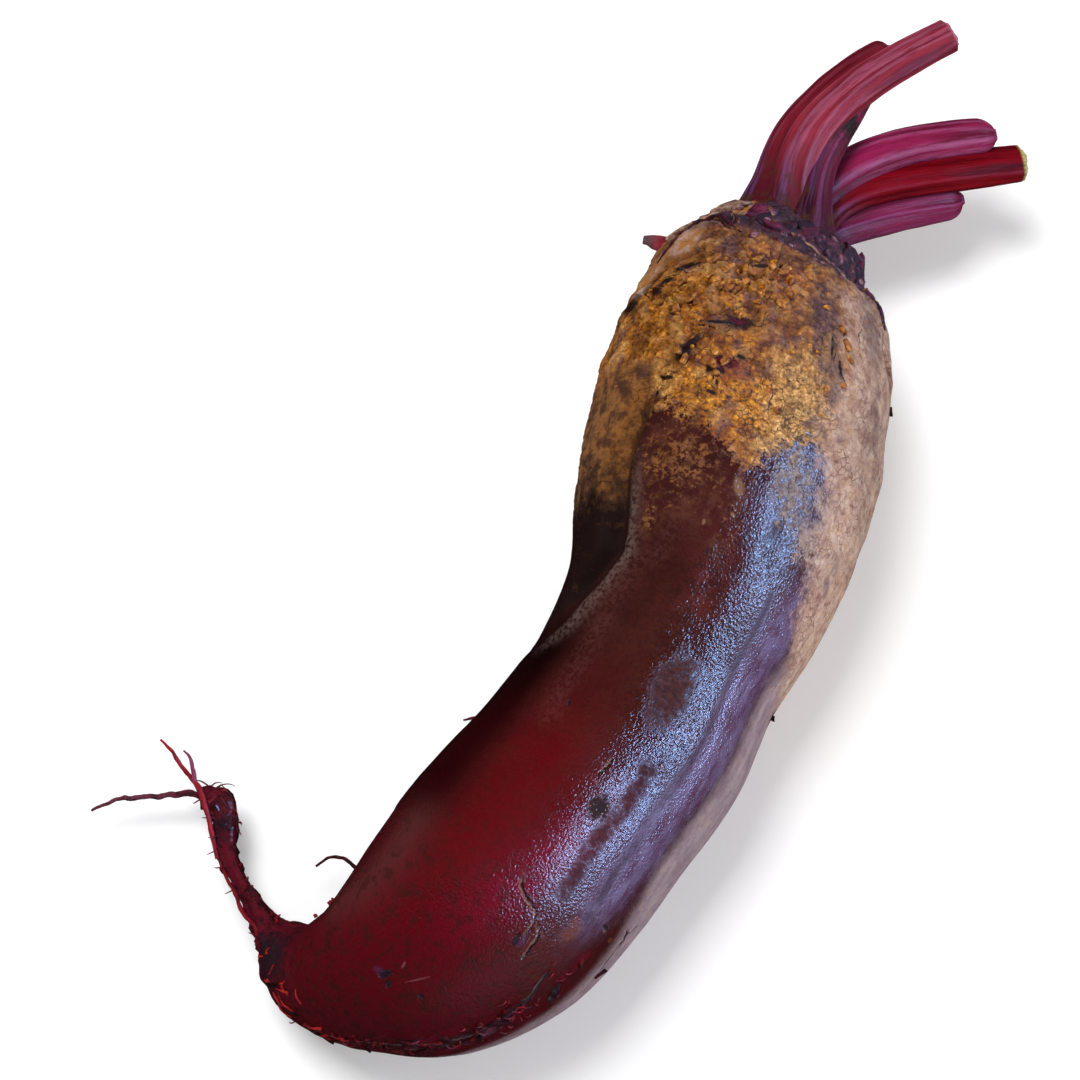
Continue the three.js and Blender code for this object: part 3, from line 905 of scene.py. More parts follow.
def paintRoot(colours, look):
    p = Paint("rootSkin")
    times, plus, less = p.times, p.plus, p.less
    fine, mid, wide = p.grain(0.8, 5, 0.68), p.grain(2.6, 8, 0.68), p.grain(13, 5, 0.62)
    torn = p.grain(2.4, 6, 0.74)
    lengthwise = p.grain(1.6, 5, 0.66, place=p.stretched((1.0, 0.24, 1.0), -10))

    # smooth body
    body = p.mix(p.fade(wide, 0.36, 0.64), colours["maroonDark"], colours["maroon"])
    body = p.mix(times(p.field("low"), 0.9), body, colours["wine"])
    body = p.mix(p.field("red"), body, colours["red"])
    body = p.mix(times(p.field("flush"), p.fade(mid, 0.4, 0.6)), body, colours["flush"])
    # painted sheen: the pink cast of the lower highlight band
    body = p.mix(times(p.field("paintedPinkSheen"), 0.75), body, colours["paintedPinkSheen"])
    # painted shade: the matt patches darkened towards the same near-black, which keeps the sheen of their rough
    # finish dark
    body = p.mix(times(p.ragged(p.field("matt"), torn, 1.6, 0.7), 0.45), body, colours["paintedShade"])
    body = p.mix(
        p.ragged(p.field("dusk"), torn, 1.5, 0.8),
        body,
        p.mix(p.fade(fine, 0.38, 0.6), colours["duskDark"], colours["dusk"]),
    )
    body = p.mix(times(p.fade(fine, 0.50, 0.34), 0.35), body, colours["maroonDark"])
    # painted shade on the left flank, dark red further down
    body = p.mix(p.field("paintedShade"), body, p.mix(p.field("paintedShadeRedShare"), colours["paintedShade"], colours["paintedShadeRed"]))
    # painted sheen along the pale lines and low on the left flank
    body = p.mix(times(times(p.field("paintedSheen"), p.fade(fine, 0.4, 0.62)), 0.5), body, colours["paintedSheen"])
    body = p.mix(times(p.field("paintedLowSheen"), 0.34), body, colours["paintedSheen"])
    # painted reflection: the bluish band beside the highlight
    blue = p.mix(p.fade(lengthwise, 0.34, 0.66), colours["blue"], colours["paintedBlueReflectionDark"])
    body = p.mix(times(p.ragged(p.field("blue"), torn, 0.6, 0.45), 0.8), body, blue)
    # the mauve flank, the skin's own pale colour with a painted bluish reflection in it
    mauve = p.mix(
        p.fade(plus(times(lengthwise, 0.6), times(fine, 0.4)), 0.38, 0.62),
        colours["mauve"],
        colours["mauveDark"],
    )
    mauve = p.mix(times(p.fade(torn, 0.5, 0.62), 0.32), mauve, colours["tan"])
    body = p.mix(p.ragged(p.field("mauve"), mid, 0.35, 0.45), body, mauve)
    # painted shade: a broken dark line in the groove beside the highlight
    broken = p.fade(p.grain(5, 4, 0.6), 0.40, 0.60, 0.15, 1.0)
    body = p.mix(
        times(times(p.fade(plus(p.field("seam"), times(less(fine, 0.5), 1.6)), 0.3, 0.8), broken), 0.8),
        body,
        colours["seam"],
    )

    # cork
    net = p.cells(1.5, place=p.jittered(1.5, 1.0))
    lines = times(p.fade(net, 0.0, 0.08, 1.0, 0.0), p.fade(p.grain(4.5, 3), 0.40, 0.60))
    bigNet = p.cells(4.4, place=p.jittered(3.0, 3.2))
    bigLines = times(p.fade(bigNet, 0.0, 0.035, 1.0, 0.0), p.fade(p.grain(7, 3), 0.44, 0.58))
    cork = p.ramp(mid, tints(rootRamps["cork"]))
    cork = p.mix(times(p.fade(p.grain(6, 5, 0.6), 0.5, 0.64), 0.55), cork, colours["rust"])
    gold = p.ramp(plus(times(mid, 0.6), times(fine, 0.4)), tints(rootRamps["gold"]))
    plum = p.mix(p.fade(fine, 0.4, 0.6), colours["plumDark"], colours["plum"])
    straw = p.ramp(plus(times(mid, 0.5), times(fine, 0.5)), tints(rootRamps["straw"]))
    for zone, reach, soft, strength, over in (
        ("gold", 0.9, 0.35, 0.85, gold),
        ("straw", 1.2, 0.35, 0.85, straw),
        ("umber", 1.4, 0.4, 0.55, colours["umber"]),
        ("rust", 1.1, 0.3, 0.8, colours["rust"]),
        ("plum", 1.1, 0.3, 0.75, plum),
    ):
        cork = p.mix(times(p.ragged(p.field(zone), torn, reach, soft), strength), cork, over)
    paintedShadeAndLight = p.ramp(fine, corkPaintedShadeAndLight)
    cork = p.mix(times(p.fade(p.grain(5, 4, 0.6), 0.54, 0.64), 0.28), cork, colours["straw"])
    cork = p.mix(times(p.fade(p.grain(4.2, 4, 0.6), 0.45, 0.37), 0.6), cork, colours["plum"])
    # painted shade and light along the fine grain of the cork
    cork = p.mix(times(0.9, p.fade(wide, 0.62, 0.4, 0.72, 1.0)), cork, paintedShadeAndLight, "MULTIPLY")
    cork = p.mix(times(times(lines, p.field("net")), 0.75), cork, colours["crack"])
    cork = p.mix(times(bigLines, 0.6), cork, colours["crack"])
    # painted shade in the low spots of the relief and painted light on its high spots
    cork = p.mix(times(p.field("paintedHollowShade"), 0.75), cork, colours["paintedCreviceShade"])
    cork = p.mix(times(p.field("paintedRaisedLight"), 0.6), cork, colours["chip"])

    # pale flank
    tan = p.ramp(mid, tints(rootRamps["tan"]))
    tan = p.mix(times(p.fade(torn, 0.53, 0.66), 0.5), tan, colours["rose"])
    tan = p.mix(times(p.fade(fine, 0.5, 0.34), 0.4), tan, colours["tanDark"])
    tan = p.mix(times(p.fade(lengthwise, 0.54, 0.70), 0.6), tan, colours["streakDark"])
    tan = p.mix(times(lines, 0.8), tan, colours["streakDark"])
    tan = p.mix(times(p.fade(torn, 0.47, 0.36), 0.5), tan, colours["straw"])
    tan = p.mix(times(p.ragged(p.field("plum"), torn, 1.1, 0.3), 0.6), tan, colours["plumDark"])

    crown = p.mix(p.fade(mid, 0.4, 0.6), colours["crownDark"], colours["plumDark"])
    crown = p.mix(times(p.fade(torn, 0.56, 0.66), 0.6), crown, colours["rust"])
    crown = p.mix(times(p.fade(mid, 0.57, 0.64), 0.7), crown, colours["magenta"])
    crown = p.mix(times(p.fade(fine, 0.6, 0.7), 0.6), crown, colours["collar"])
    lobe = p.mix(p.fade(mid, 0.40, 0.60), colours["lobeBrown"], colours["lobe"])
    lobe = p.mix(p.fade(torn, 0.58, 0.68), lobe, colours["ochre"])
    lobe = p.mix(p.ragged(p.field("lobeDark"), torn, 1.3, 0.45), lobe, colours["lobeGrey"])
    body = p.mix(times(times(p.field("low"), p.fade(torn, 0.5, 0.62)), 0.6), body, colours["maroonDark"])
    tail = p.mix(p.fade(mid, 0.44, 0.62), colours["tail"], colours["tailDark"])
    tail = p.mix(p.ragged(p.field("dirt"), torn, 1.0, 0.3), tail, colours["tailDusk"])

    fleckNoise = p.grain(1.2, 7, 0.76)
    tornFine = plus(times(torn, 0.5), times(fleckNoise, 0.5))
    corkHere = times(p.ragged(p.field("cork"), tornFine, 3.0, 0.16), p.fade(p.field("cork"), 0.01, 0.16))
    crust = times(p.fade(torn, 0.44, 0.58), p.fade(p.field("flecks"), 0.05, 0.4))
    flecks = p.fade(plus(fleckNoise, times(less(p.field("flecks"), 0.6), 0.22)), 0.54, 0.62)
    flecks = times(flecks, p.fade(p.field("flecks"), 0.05, 0.3))
    scales = p.fade(plus(fleckNoise, times(less(p.field("scales"), 0.6), 0.3)), 0.54, 0.64)
    scales = times(scales, p.fade(p.field("scales"), 0.05, 0.3))
    tanHere = times(p.ragged(p.field("tan"), torn, 1.6, 0.36), p.fade(p.field("tan"), 0.06, 0.22))
    colour = p.mix(p.ragged(p.field("tail"), torn, 0.6, 0.4), body, tail)
    colour = p.mix(corkHere, colour, cork)
    fleckColour = p.mix(p.fade(mid, 0.36, 0.62), colours["rim"], colours["ochre"])
    colour = p.mix(times(times(crust, less(1.0, corkHere)), 0.5), colour, colours["umber"])
    colour = p.mix(times(times(flecks, less(1.0, corkHere)), 0.55), colour, fleckColour)
    colour = p.mix(
        times(scales, 0.75), colour, p.mix(p.fade(fine, 0.38, 0.6), colours["plum"], colours["scale"])
    )
    colour = p.mix(tanHere, colour, tan)
    colour = p.mix(p.ragged(p.field("lobe"), torn, 0.2, 0.3), colour, lobe)
    # painted shade along the crease
    colour = p.mix(times(p.ragged(p.field("creaseShade"), torn, 0.5, 0.4), 0.8), colour, colours["lobeGrey"])
    colour = p.mix(p.ragged(p.field("crown"), torn, 0.9, 0.3), colour, crown)
    colour = p.mix(
        p.ragged(p.field("collar"), torn, 0.9, 0.3),
        colour,
        p.mix(p.fade(mid, 0.42, 0.58), colours["collar"], colours["ochre"]),
    )
    colour = p.mix(times(p.ragged(p.field("magenta"), torn, 0.7, 0.3), 0.85), colour, colours["magenta"])
    # painted sheen along the fold's ridge
    colour = p.mix(times(times(p.field("fold"), p.fade(fine, 0.36, 0.6)), 0.75), colour, colours["fold"])

    # marks
    covers = {kind: p.mark(kind, fleckNoise, 2.4, 0.4) for kind in skinMarks}
    onCork = p.larger(corkHere, tanHere)
    colour = p.mix(
        times(times(p.mark("hole", fleckNoise, 2.6, 0.9, 1.5), onCork), 0.75), colour, colours["rim"]
    )
    for kind, strength in {
        "amber": 0.3, "violet": 0.4, "beige": 0.35, "hole": 0.95, "blood": 0.8, "pale": 0.22
    }.items():
        covering = p.mix(onCork, colours["pit"], colours["hole"]) if kind == "hole" else colours[kind]
        colour = p.mix(times(covers[kind], strength), colour, covering)
    knot = p.mark("knot", fleckNoise, 3.4, 0.35)
    seeds = times(
        p.fade(p.cells(0.75, "F1", place=p.jittered(0.8, 0.6)), 0.16, 0.3, 1.0, 0.0), p.fade(mid, 0.4, 0.56)
    )
    colour = p.mix(times(p.mark("knot", fleckNoise, 2.4, 0.9, 1.5), 0.6), colour, colours["dusk"])
    colour = p.mix(times(knot, 0.85), colour, p.mix(times(seeds, 0.8), colours["hole"], colours["tan"]))

    # cracks: a dark line with a pale lip on one side
    place = p.put("ShaderNodeAttribute", attribute_name="cracks").outputs["Vector"]
    parts = p.put("ShaderNodeSeparateXYZ", {0: place}).outputs
    off = plus(times(parts["X"], 1.0), times(less(fleckNoise, 0.5), 1.6))
    near = times(p.fade(parts["Z"], 2.5, 3.5, 1.0, 0.0), p.fade(parts["Y"], 0.0, 0.5))
    slit = times(near, p.fade(p.sums("ABSOLUTE", off), 0.06, 0.19, 1.0, 0.0))
    lip = times(near, times(p.fade(off, 0.16, 0.28), p.fade(off, 0.6, 0.38)))
    colour = p.mix(times(slit, 0.9), colour, colours["hole"])
    colour = p.mix(times(lip, 0.25), colour, colours["collar"])

    # finish
    rough = p.blendNumber(p.fade(torn, 0.4, 0.6), *look["skinRoughness"])
    rough = p.blendNumber(
        p.larger(
            times(p.ragged(p.field("matt"), tornFine, 2.8, 0.5), p.fade(p.field("matt"), 0.1, 0.5)),
            times(p.field("seam"), 0.6),
        ),
        rough,
        look["mattRoughness"],
    )
    for kind, share in (
        ("mauve", p.field("mauve")),
        ("cork", corkHere),
        ("tan", tanHere),
        ("crown", p.field("crown")),
        ("hole", p.larger(covers["hole"], knot)),
    ):
        rough = p.blendNumber(share, rough, look[kind + "Roughness"])
    hatched = p.grain(0.34, 2, 0.55, place=p.stretched((1.0, 0.45, 1.0), -34))
    grain = plus(times(hatched, 1.25), times(p.cells(0.45, "F1"), 0.8))
    wrinkles = times(p.field("wrinkle"), p.grain(1.0, 2, 0.5))
    sunk = times(p.larger(slit, covers["hole"]), look["holeDepth"] / look["skinGrain"])
    skinBump = p.bump(less(plus(grain, times(wrinkles, 2.6)), sunk), look["skinGrain"])
    corkHeight = plus(
        plus(times(fine, 1.2), times(mid, 1.4)), times(p.larger(times(lines, p.field("net")), bigLines), -0.45)
    )
    corkHeight = less(corkHeight, times(covers["hole"], 1.2))
    corkBump = p.bump(corkHeight, look["corkGrain"])
    normal = p.put("ShaderNodeMix", {0: 0.0, 4: skinBump, 5: corkBump}, data_type="VECTOR")
    coarse = p.larger(p.larger(corkHere, knot), p.larger(times(scales, 0.6), flecks))
    p.tree.links.new(p.larger(coarse, times(tanHere, 0.5)), normal.inputs[0])
    return p.finish(colour, rough, normal.outputs[1], look["gloss"])


class Grower(Nodes):
    # a Geometry Nodes tree; given holds its inputs by name, numbers and the material
    def __init__(self, name, inputs):
        tree = bpy.data.node_groups.new(name, "GeometryNodeTree")
        super().__init__(tree)
        tree.interface.new_socket("Geometry", in_out="INPUT", socket_type="NodeSocketGeometry")
        tree.interface.new_socket("Geometry", in_out="OUTPUT", socket_type="NodeSocketGeometry")
        kinds = {float: "NodeSocketFloat", int: "NodeSocketInt"}
        for key, value in inputs.items():
            tree.interface.new_socket(key, in_out="INPUT", socket_type=kinds[type(value)]).default_value = value
        tree.interface.new_socket("material", in_out="INPUT", socket_type="NodeSocketMaterial")
        self.given = {socket.name: socket for socket in self.put("NodeGroupInput").outputs}

    def field(self, name):
        return self.put("GeometryNodeInputNamedAttribute", {"Name": name}, data_type="FLOAT").outputs[0]

    def noise(self, size, detail=2.0, rough=0.5):
        # size is an input of the tree, a length in metres
        place = self.put("GeometryNodeInputPosition").outputs[0]
        inputs = {
            "Vector": place, "Scale": self.sums("DIVIDE", 1.0, size), "Detail": detail, "Roughness": rough
        }
        return self.put("ShaderNodeTexNoise", inputs).outputs

    def jitter(self, size, amount):
        # a random shift each way
        return self.vectors("SCALE", self.vectors("SUBTRACT", self.noise(size)[1], (0.5, 0.5, 0.5)), amount)

    def smoothed(self, geometry):
        return self.put("GeometryNodeSetShadeSmooth", {"Geometry": geometry}).outputs[0]

    def moved(self, geometry, offset):
        return self.put("GeometryNodeSetPosition", {"Geometry": geometry, "Offset": offset}).outputs[0]

    def end(self, geometry):
        real = self.put("GeometryNodeRealizeInstances", {0: geometry}).outputs[0]
        inputs = {"Geometry": real, "Material": self.given["material"]}
        self.put("NodeGroupOutput", {0: self.put("GeometryNodeSetMaterial", inputs).outputs[0]})
        return self.tree


def growMesh(piece, tree, values):
    # runs the tree on the piece and keeps the result as a plain mesh
    modifier = piece.modifiers.new(tree.name, "NODES")
    modifier.node_group = tree
    for item in tree.interface.items_tree:
        if item.in_out == "INPUT" and item.name in values:
            modifier[item.identifier] = values[item.name]
    graph = bpy.context.evaluated_depsgraph_get()
    grown = piece.evaluated_get(graph)
    mesh = bpy.data.meshes.new_from_object(grown, preserve_all_data_layers=True, depsgraph=graph)
    name = piece.name
    piece.modifiers.remove(modifier)
    if piece.type == "MESH":
        piece.data = mesh
        return piece
    bpy.data.objects.remove(piece)
    return newObject(name, mesh)


def storeVectors(piece, name, field):
    # three numbers at each point of a piece's grid
    rows = field.reshape(-1, 3)
    attribute = piece.data.attributes.new(name, "FLOAT_VECTOR", "POINT")
    rows = np.vstack([rows, rows[:1], rows[-1:]])
    attribute.data.foreach_set("vector", np.asarray(rows, np.float32).reshape(-1))


skinRelief = {
    "lumpHeight": 0.0018,
    "lumpSize": 0.0050,
    "chipHeight": 0.0009,
    "chipSize": 0.0021,
    "crackDepth": 0.00012,
    "crackSize": 0.0019,
    "crackWander": 0.0016,
    "rippleHeight": 0.00014,
    "rippleSize": 0.0040,
    "knobHeight": 0.0007,
    "knobSize": 0.0026,
}


def skinReliefTree():
    g = Grower("skinRelief", skinRelief)
    given = g.given
    cork, crown, tail, tan, chipped, net = (
        g.field(key) for key in ("cork", "crown", "tail", "tan", "chips", "net")
    )
    rough = g.larger(g.times(cork, g.less(1.0, g.times(tan, 0.7))), crown)
    lumps = g.less(g.noise(given["lumpSize"], 4.0, 0.6)[0], 0.5)
    scab = g.noise(given["chipSize"])[0]
    chosen = g.plus(g.times(chipped, 0.9), 0.12)
    chip = g.times(g.fade(scab, 0.55, 0.64), chosen)
    gap = g.times(g.times(g.fade(scab, 0.50, 0.54), g.fade(scab, 0.60, 0.56)), chosen)
    shift = g.vectors("SCALE", g.noise(given["crackSize"])[1], given["crackWander"])
    place = g.vectors("ADD", g.put("GeometryNodeInputPosition").outputs[0], shift)
    inputs = {"Vector": place, "Scale": g.sums("DIVIDE", 1.0, given["crackSize"])}
    edges = g.put("ShaderNodeTexVoronoi", inputs, feature="DISTANCE_TO_EDGE").outputs[0]
    cracks = g.times(g.times(g.fade(edges, 0.0, 0.3, -1.0, 0.0), given["crackDepth"]), net)
    dents = g.times(g.less(chip, gap), given["chipHeight"])
    high = g.times(g.plus(g.plus(g.times(lumps, given["lumpHeight"]), dents), cracks), rough)
    ripple = g.times(g.less(g.noise(given["rippleSize"])[0], 0.5), given["rippleHeight"])
    high = g.plus(high, g.times(ripple, g.less(1.0, rough)))
    knobs = g.times(g.fade(g.noise(given["knobSize"])[0], 0.45, 0.7), given["knobHeight"])
    high = g.plus(high, g.times(knobs, tail))
    height = g.put("ShaderNodeSeparateXYZ", {0: g.put("GeometryNodeInputPosition").outputs[0]}).outputs[2]
    aboveFloor = g.fade(height, 0.0004, 0.004)
    offset = g.vectors("SCALE", g.put("GeometryNodeInputNormal").outputs[0], g.times(high, aboveFloor))
    # where the relief is low and where it is high, kept for the painted shade and light
    paintedHollowShade = g.larger(gap, g.times(g.fade(lumps, -0.02, -0.12), 0.7))
    paintedRaisedLight = g.larger(chip, g.times(g.fade(lumps, 0.03, 0.14), 0.5))
    kept = given["Geometry"]
    for name, field in {"paintedHollowShade": paintedHollowShade, "paintedRaisedLight": paintedRaisedLight}.items():
        inputs = {"Geometry": kept, "Name": name, "Value": field}
        kept = g.put("GeometryNodeStoreNamedAttribute", inputs, data_type="FLOAT", domain="POINT").outputs[0]
    return g.end(g.moved(kept, offset))


rootSkin = paintRoot(rootPaint, rootFinish)
root = gridMesh("rootBody", grid, zones, rootSkin)
for kind, places in {**skinMarks, "knot": knotMark}.items():
    storeVectors(root, kind, nearestMark(skin, places))
storeVectors(root, "cracks", nearestLine(skin, cracks))
growMesh(root, skinReliefTree(), {**skinRelief, "material": rootSkin})
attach(root, "root")
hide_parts("root")
print("beetroot: root made,", len(root.data.polygons), "faces")


def onSkin(arcs, angles):
    # points of the root's surface and its outward direction there
    i = np.interp(arcs, skin.arc, np.arange(len(skin.arc)))
    j = np.interp(angles, skin.a[0], np.arange(skin.a.shape[1]))
    i0, j0 = np.minimum(i.astype(int), len(skin.arc) - 2), np.minimum(j.astype(int), skin.a.shape[1] - 2)
    fi, fj = (i - i0)[..., None], (j - j0)[..., None]

    def blend(field):
        near = field[i0, j0] * (1 - fj) + field[i0, j0 + 1] * fj
        far = field[i0 + 1, j0] * (1 - fj) + field[i0 + 1, j0 + 1] * fj
        return near * (1 - fi) + far * fi

    return blend(grid), blend(skin.normals)


# Flakes that lie on the skin: leaf bases, lips of scars and loose scales. Each has the arc and angle of its
# middle, half length and half width in mm, turn in degrees, and how far its tip stands up
flakes = {
    "leafBases": {
        "thick": 0.3,
        "colours": ((54, 22, 36), (104, 46, 66), (26, 12, 16)),
        "places": [
            (8, 18, 4, 1.7, 172, 0.5), (9, 33, 4.3, 1.9, 186, 0.55), (11, 50, 4, 1.6, 196, 0.72),
            (14, 66, 3.4, 1.4, 204, 0.66), (16, 57, 3.3, 1.3, 210, 0.5), (15, 43, 3.4, 1.2, 172, 0.44),
            (19.6, 55, 2.5, 1, 190, 0.44), (22, 68, 2.9, 1, 176, 0.5), (13, 26, 2.9, 1.1, 204, 0.39),
            (12, 8, 2.5, 1.3, 160, 0.39), (13, -6, 2.5, 1.3, 186, 0.33), (25, 66, 2.2, 0.71, 196, 0.39),
            (17, 78, 3.4, 1.3, 190, 0.55),
        ],
    },
    "magentaBases": {
        "thick": 0.5,
        "colours": ((92, 18, 50), (128, 34, 74), (56, 14, 32)),
        "places": [
            (14.6, 2, 1.4, 2.8, 8, 0.7), (11, -12, 2.8, 1.6, 176, 0.7), (12, 21, 2.4, 1.2, 150, 0.7),
            (19.5, 62, 2.4, 1.0, 176, 0.8), (13, 58, 2.6, 1.0, 196, 1.0),
        ],
    },
    "leafScars": {
        "thick": 0.5,
        "colours": ((156, 122, 104), (200, 176, 160), (100, 62, 50)),
        "places": [
            (9.6, -34, 1.5, 5.4, 10, 0.7), (13.6, -62, 3.0, 2.4, 14, 0.5), (28.4, -57, 1.0, 2.6, 22, 0.6),
            (33, 68, 1.2, 3.0, -40, 0.5),
        ],
    },
    "fissureFlaps": {
        "thick": 0.35,
        "colours": ((50, 10, 12), (96, 28, 26), (20, 6, 6)),
        "gloss": 0.1,
        "places": [
            (158.6, 60, 1.2, 0.42, 20, 0.6), (160.4, 65, 1.4, 0.48, 150, 0.7), (162.4, 62, 1.2, 0.36, 60, 0.6),
            (164, 70, 1.4, 0.48, 200, 0.8), (166, 63, 1.2, 0.42, 100, 0.6), (168.4, 70, 1.5, 0.48, 20, 0.8),
            (170.2, 62, 1.2, 0.36, 130, 0.6), (172.6, 70, 1.5, 0.54, 170, 0.9), (174.6, 64, 1.2, 0.36, 40, 0.6),
            (176.6, 72, 1.4, 0.42, 90, 0.7), (179, 69, 1.4, 0.36, 10, 0.7), (182, 74, 1.2, 0.36, 150, 0.6),
            (149.6, 63, 0.6, 0.3, 40, 0.5), (153.6, 67, 0.68, 0.24, 100, 0.4), (148.4, 83, 0.9, 0.21, 160, 0.4),
            (96.4, 88, 0.6, 0.27, 10, 0.5), (38.2, 88, 0.9, 0.48, 10, 0.4),
        ],
    },
    "looseScales": {
        "thick": 0.4,
        "colours": ((160, 96, 34), (206, 150, 70), (84, 44, 14)),
        "places": [
            (8.2, -14, 0.9, 2.6, 8, 0.7), (9.4, -30, 0.8, 2.0, 14, 0.6), (22, -5.6, 1.3, 1.2, 200, 0.8),
            (21.4, -1.6, 1.1, 1.6, 160, 0.9), (23.6, -3.4, 1.0, 1.2, 30, 0.6), (25.2, 3.6, 0.9, 0.7, 120, 0.7),
            (26.4, 7.4, 0.9, 0.7, 60, 0.6), (32.4, 4.6, 1.2, 0.9, 60, 0.7), (33.4, 8.6, 1.1, 0.8, 110, 0.7),
            (31.2, 11.6, 0.8, 0.6, 20, 0.5), (31, -16.4, 1.1, 0.8, 70, 0.7), (31.6, -12.6, 1.2, 0.7, 120, 0.6),
            (30.2, -9.6, 0.8, 0.7, 40, 0.6), (34.6, 35, 1.1, 0.6, 20, 0.5), (37.2, 37.4, 1.2, 0.6, 30, 0.5),
            (39.4, 39.6, 0.9, 0.4, 50, 0.4), (44.8, -28, 1.3, 0.8, 60, 0.6), (46.6, -24, 1.0, 0.7, 150, 0.6),
            (47.4, -12.4, 1.0, 0.6, 20, 0.5), (46.6, -8.6, 0.9, 0.7, 100, 0.5), (49, -10.8, 0.8, 0.6, 60, 0.4),
            (34, -27, 1.2, 0.9, 100, 0.6), (36, -33, 1.3, 1.0, 70, 0.7), (29, -34, 1.3, 1.1, 110, 0.7),
            (53.2, 14, 0.8, 0.6, 60, 0.3), (24, -22, 1.4, 1.2, 100, 0.7), (27.4, -16, 1.1, 1.0, 60, 0.6),
        ],
    },
}


def strewnPlaces(seed, angles):
    rng = np.random.default_rng(seed)
    places = []
    for angle in angles:
        arc, long, wide, turn, lift = (
            rng.uniform(*limits) for limits in ((4, 12), (2.2, 4.0), (1.2, 2.2), (155, 205), (0.4, 0.9))
        )
        places.append((arc, angle, long, wide, turn, lift))
    return places


# The dried bases on the far side of the crown
flakes["driedBases"] = {
    "thick": 0.5,
    "colours": ((92, 56, 44), (142, 98, 74), (48, 26, 28)),
    "places": strewnPlaces(12, (*range(84, 180, 12), *range(-178, -76, 12))),
}
flakeLook = {"rings": 10, "sides": 14, "taper": 0.25, "raggedness": 0.22, "curl": 1.5, "sunk": 0.3}


def flakeGrid(place, thick, seed, look):
    arc, angle, long, wide, turn, lift = place
    u = np.linspace(-1, 1, look["rings"])[:, None]
    turns = np.linspace(0, 2 * math.pi, look["sides"], endpoint=False)[None]
    v, side = -np.cos(turns), np.sin(turns)
    width = wide * np.sqrt(np.maximum(1 - np.abs(u) ** 2.6, 0.02)) * (1 - look["taper"] * u)
    c, n = math.cos(math.radians(turn)), math.sin(math.radians(turn))
    spread = np.stack(np.broadcast_arrays(u * 2.0, v * 2.0, float(seed)), -1)
    rag = 1 + look["raggedness"] * lumpy(spread, 0.9, seed, 2)
    ds, da = long * u * c - width * v * rag * n, long * u * n + width * v * rag * c
    half = float(np.interp(arc, skin.arc, skin.halves))
    points, up = onSkin(arc + ds, angle + np.degrees(da / half))
    rise = lift * smooth(-1, 1, u) ** look["curl"] * (0.7 + 0.3 * v**2) + thick * look["sunk"]
    height = rise + np.where(side > 0, side * thick, side * (thick + rise))
    return points + up * height[..., None]


def makeFlakes(name, kind, look):
    p = Paint(name + "Skin")
    main, pale, dark = (tint(*c) for c in kind["colours"])
    noise = p.grain(1.6, 6, 0.7)
    colour = p.mix(p.fade(noise, 0.40, 0.50), dark, main)
    colour = p.mix(p.fade(noise, 0.52, 0.64), colour, pale)
    material = p.finish(
        colour, p.blendNumber(noise, 0.5, 0.8), p.bump(p.grain(0.5, 5, 0.7), 0.4), kind.get("gloss", 0.35)
    )
    grids = [flakeGrid(place, kind["thick"], seed, look) for seed, place in enumerate(kind["places"], 1)]
    points = np.vstack([closedPoints(grid) for grid in grids])
    rings, sides = look["rings"], look["sides"]
    starts = range(0, len(points), rings * sides + 2)
    faces = [face for start in starts for face in closedFaces(rings, sides, start)]
    piece = newPiece(name, points, faces, material)
    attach(piece, "root")


for flakeName, kind in flakes.items():
    makeFlakes(flakeName, kind, flakeLook)
print("beetroot: flakes made")

# Crumbs of cork strewn over the upper part
crumbLook = {
    "density": 150000.0,
    "seed": 4,
    "smallest": 0.00030,
    "largest": 0.00085,
    "flatness": 0.5,
    "roughness": 0.0005,
    "grainSize": 0.0009,
}
crumbs = {
    "corkCrumbs": ("chips", rootRamps["cork"], {}),
    "crownCrumbs": (
        "crownChips",
        [(0.36, (40, 18, 26)), (0.48, (84, 34, 52)), (0.58, (130, 78, 88)), (0.68, (190, 152, 140))],
        {"density": 130000.0, "seed": 9, "largest": 0.0011},
    ),
}


def crumbTree(zone):
    g = Grower("crumbs", crumbLook)
    given, seed = g.given, g.given["seed"]
    inputs = {"Mesh": given["Geometry"], "Density": g.times(g.field(zone), given["density"]), "Seed": seed}
    strewn = g.put("GeometryNodeDistributePointsOnFaces", inputs).outputs
    inputs = {"Min": (0.0, 0.0, 0.0), "Max": (0.5, 0.5, 6.28), "Seed": seed}
    spin = g.put("FunctionNodeRandomValue", inputs, data_type="FLOAT_VECTOR").outputs[0]
    inputs = {0: strewn["Rotation"], 1: g.put("FunctionNodeEulerToRotation", {0: spin}).outputs[0]}
    turned = g.put("FunctionNodeRotateRotation", inputs, rotation_space="LOCAL").outputs[0]
    inputs = {2: given["smallest"], 3: given["largest"], "Seed": g.plus(seed, 1.0)}
    size = g.put("FunctionNodeRandomValue", inputs, data_type="FLOAT").outputs[1]
    inputs = {0: g.times(size, 1.3), 1: size, 2: g.times(size, given["flatness"])}
    flat = g.put("ShaderNodeCombineXYZ", inputs).outputs[0]
    ball = g.put("GeometryNodeMeshUVSphere", {"Segments": 8, "Rings": 5, "Radius": 1.0}).outputs[0]
    inputs = {"Points": strewn["Points"], "Instance": ball, "Rotation": turned, "Scale": flat}
    placed = g.put("GeometryNodeInstanceOnPoints", inputs).outputs[0]
    real = g.put("GeometryNodeRealizeInstances", {0: placed}).outputs[0]
    offset = g.jitter(given["grainSize"], g.times(given["roughness"], 2.0))
    return g.end(g.smoothed(g.moved(real, offset)))


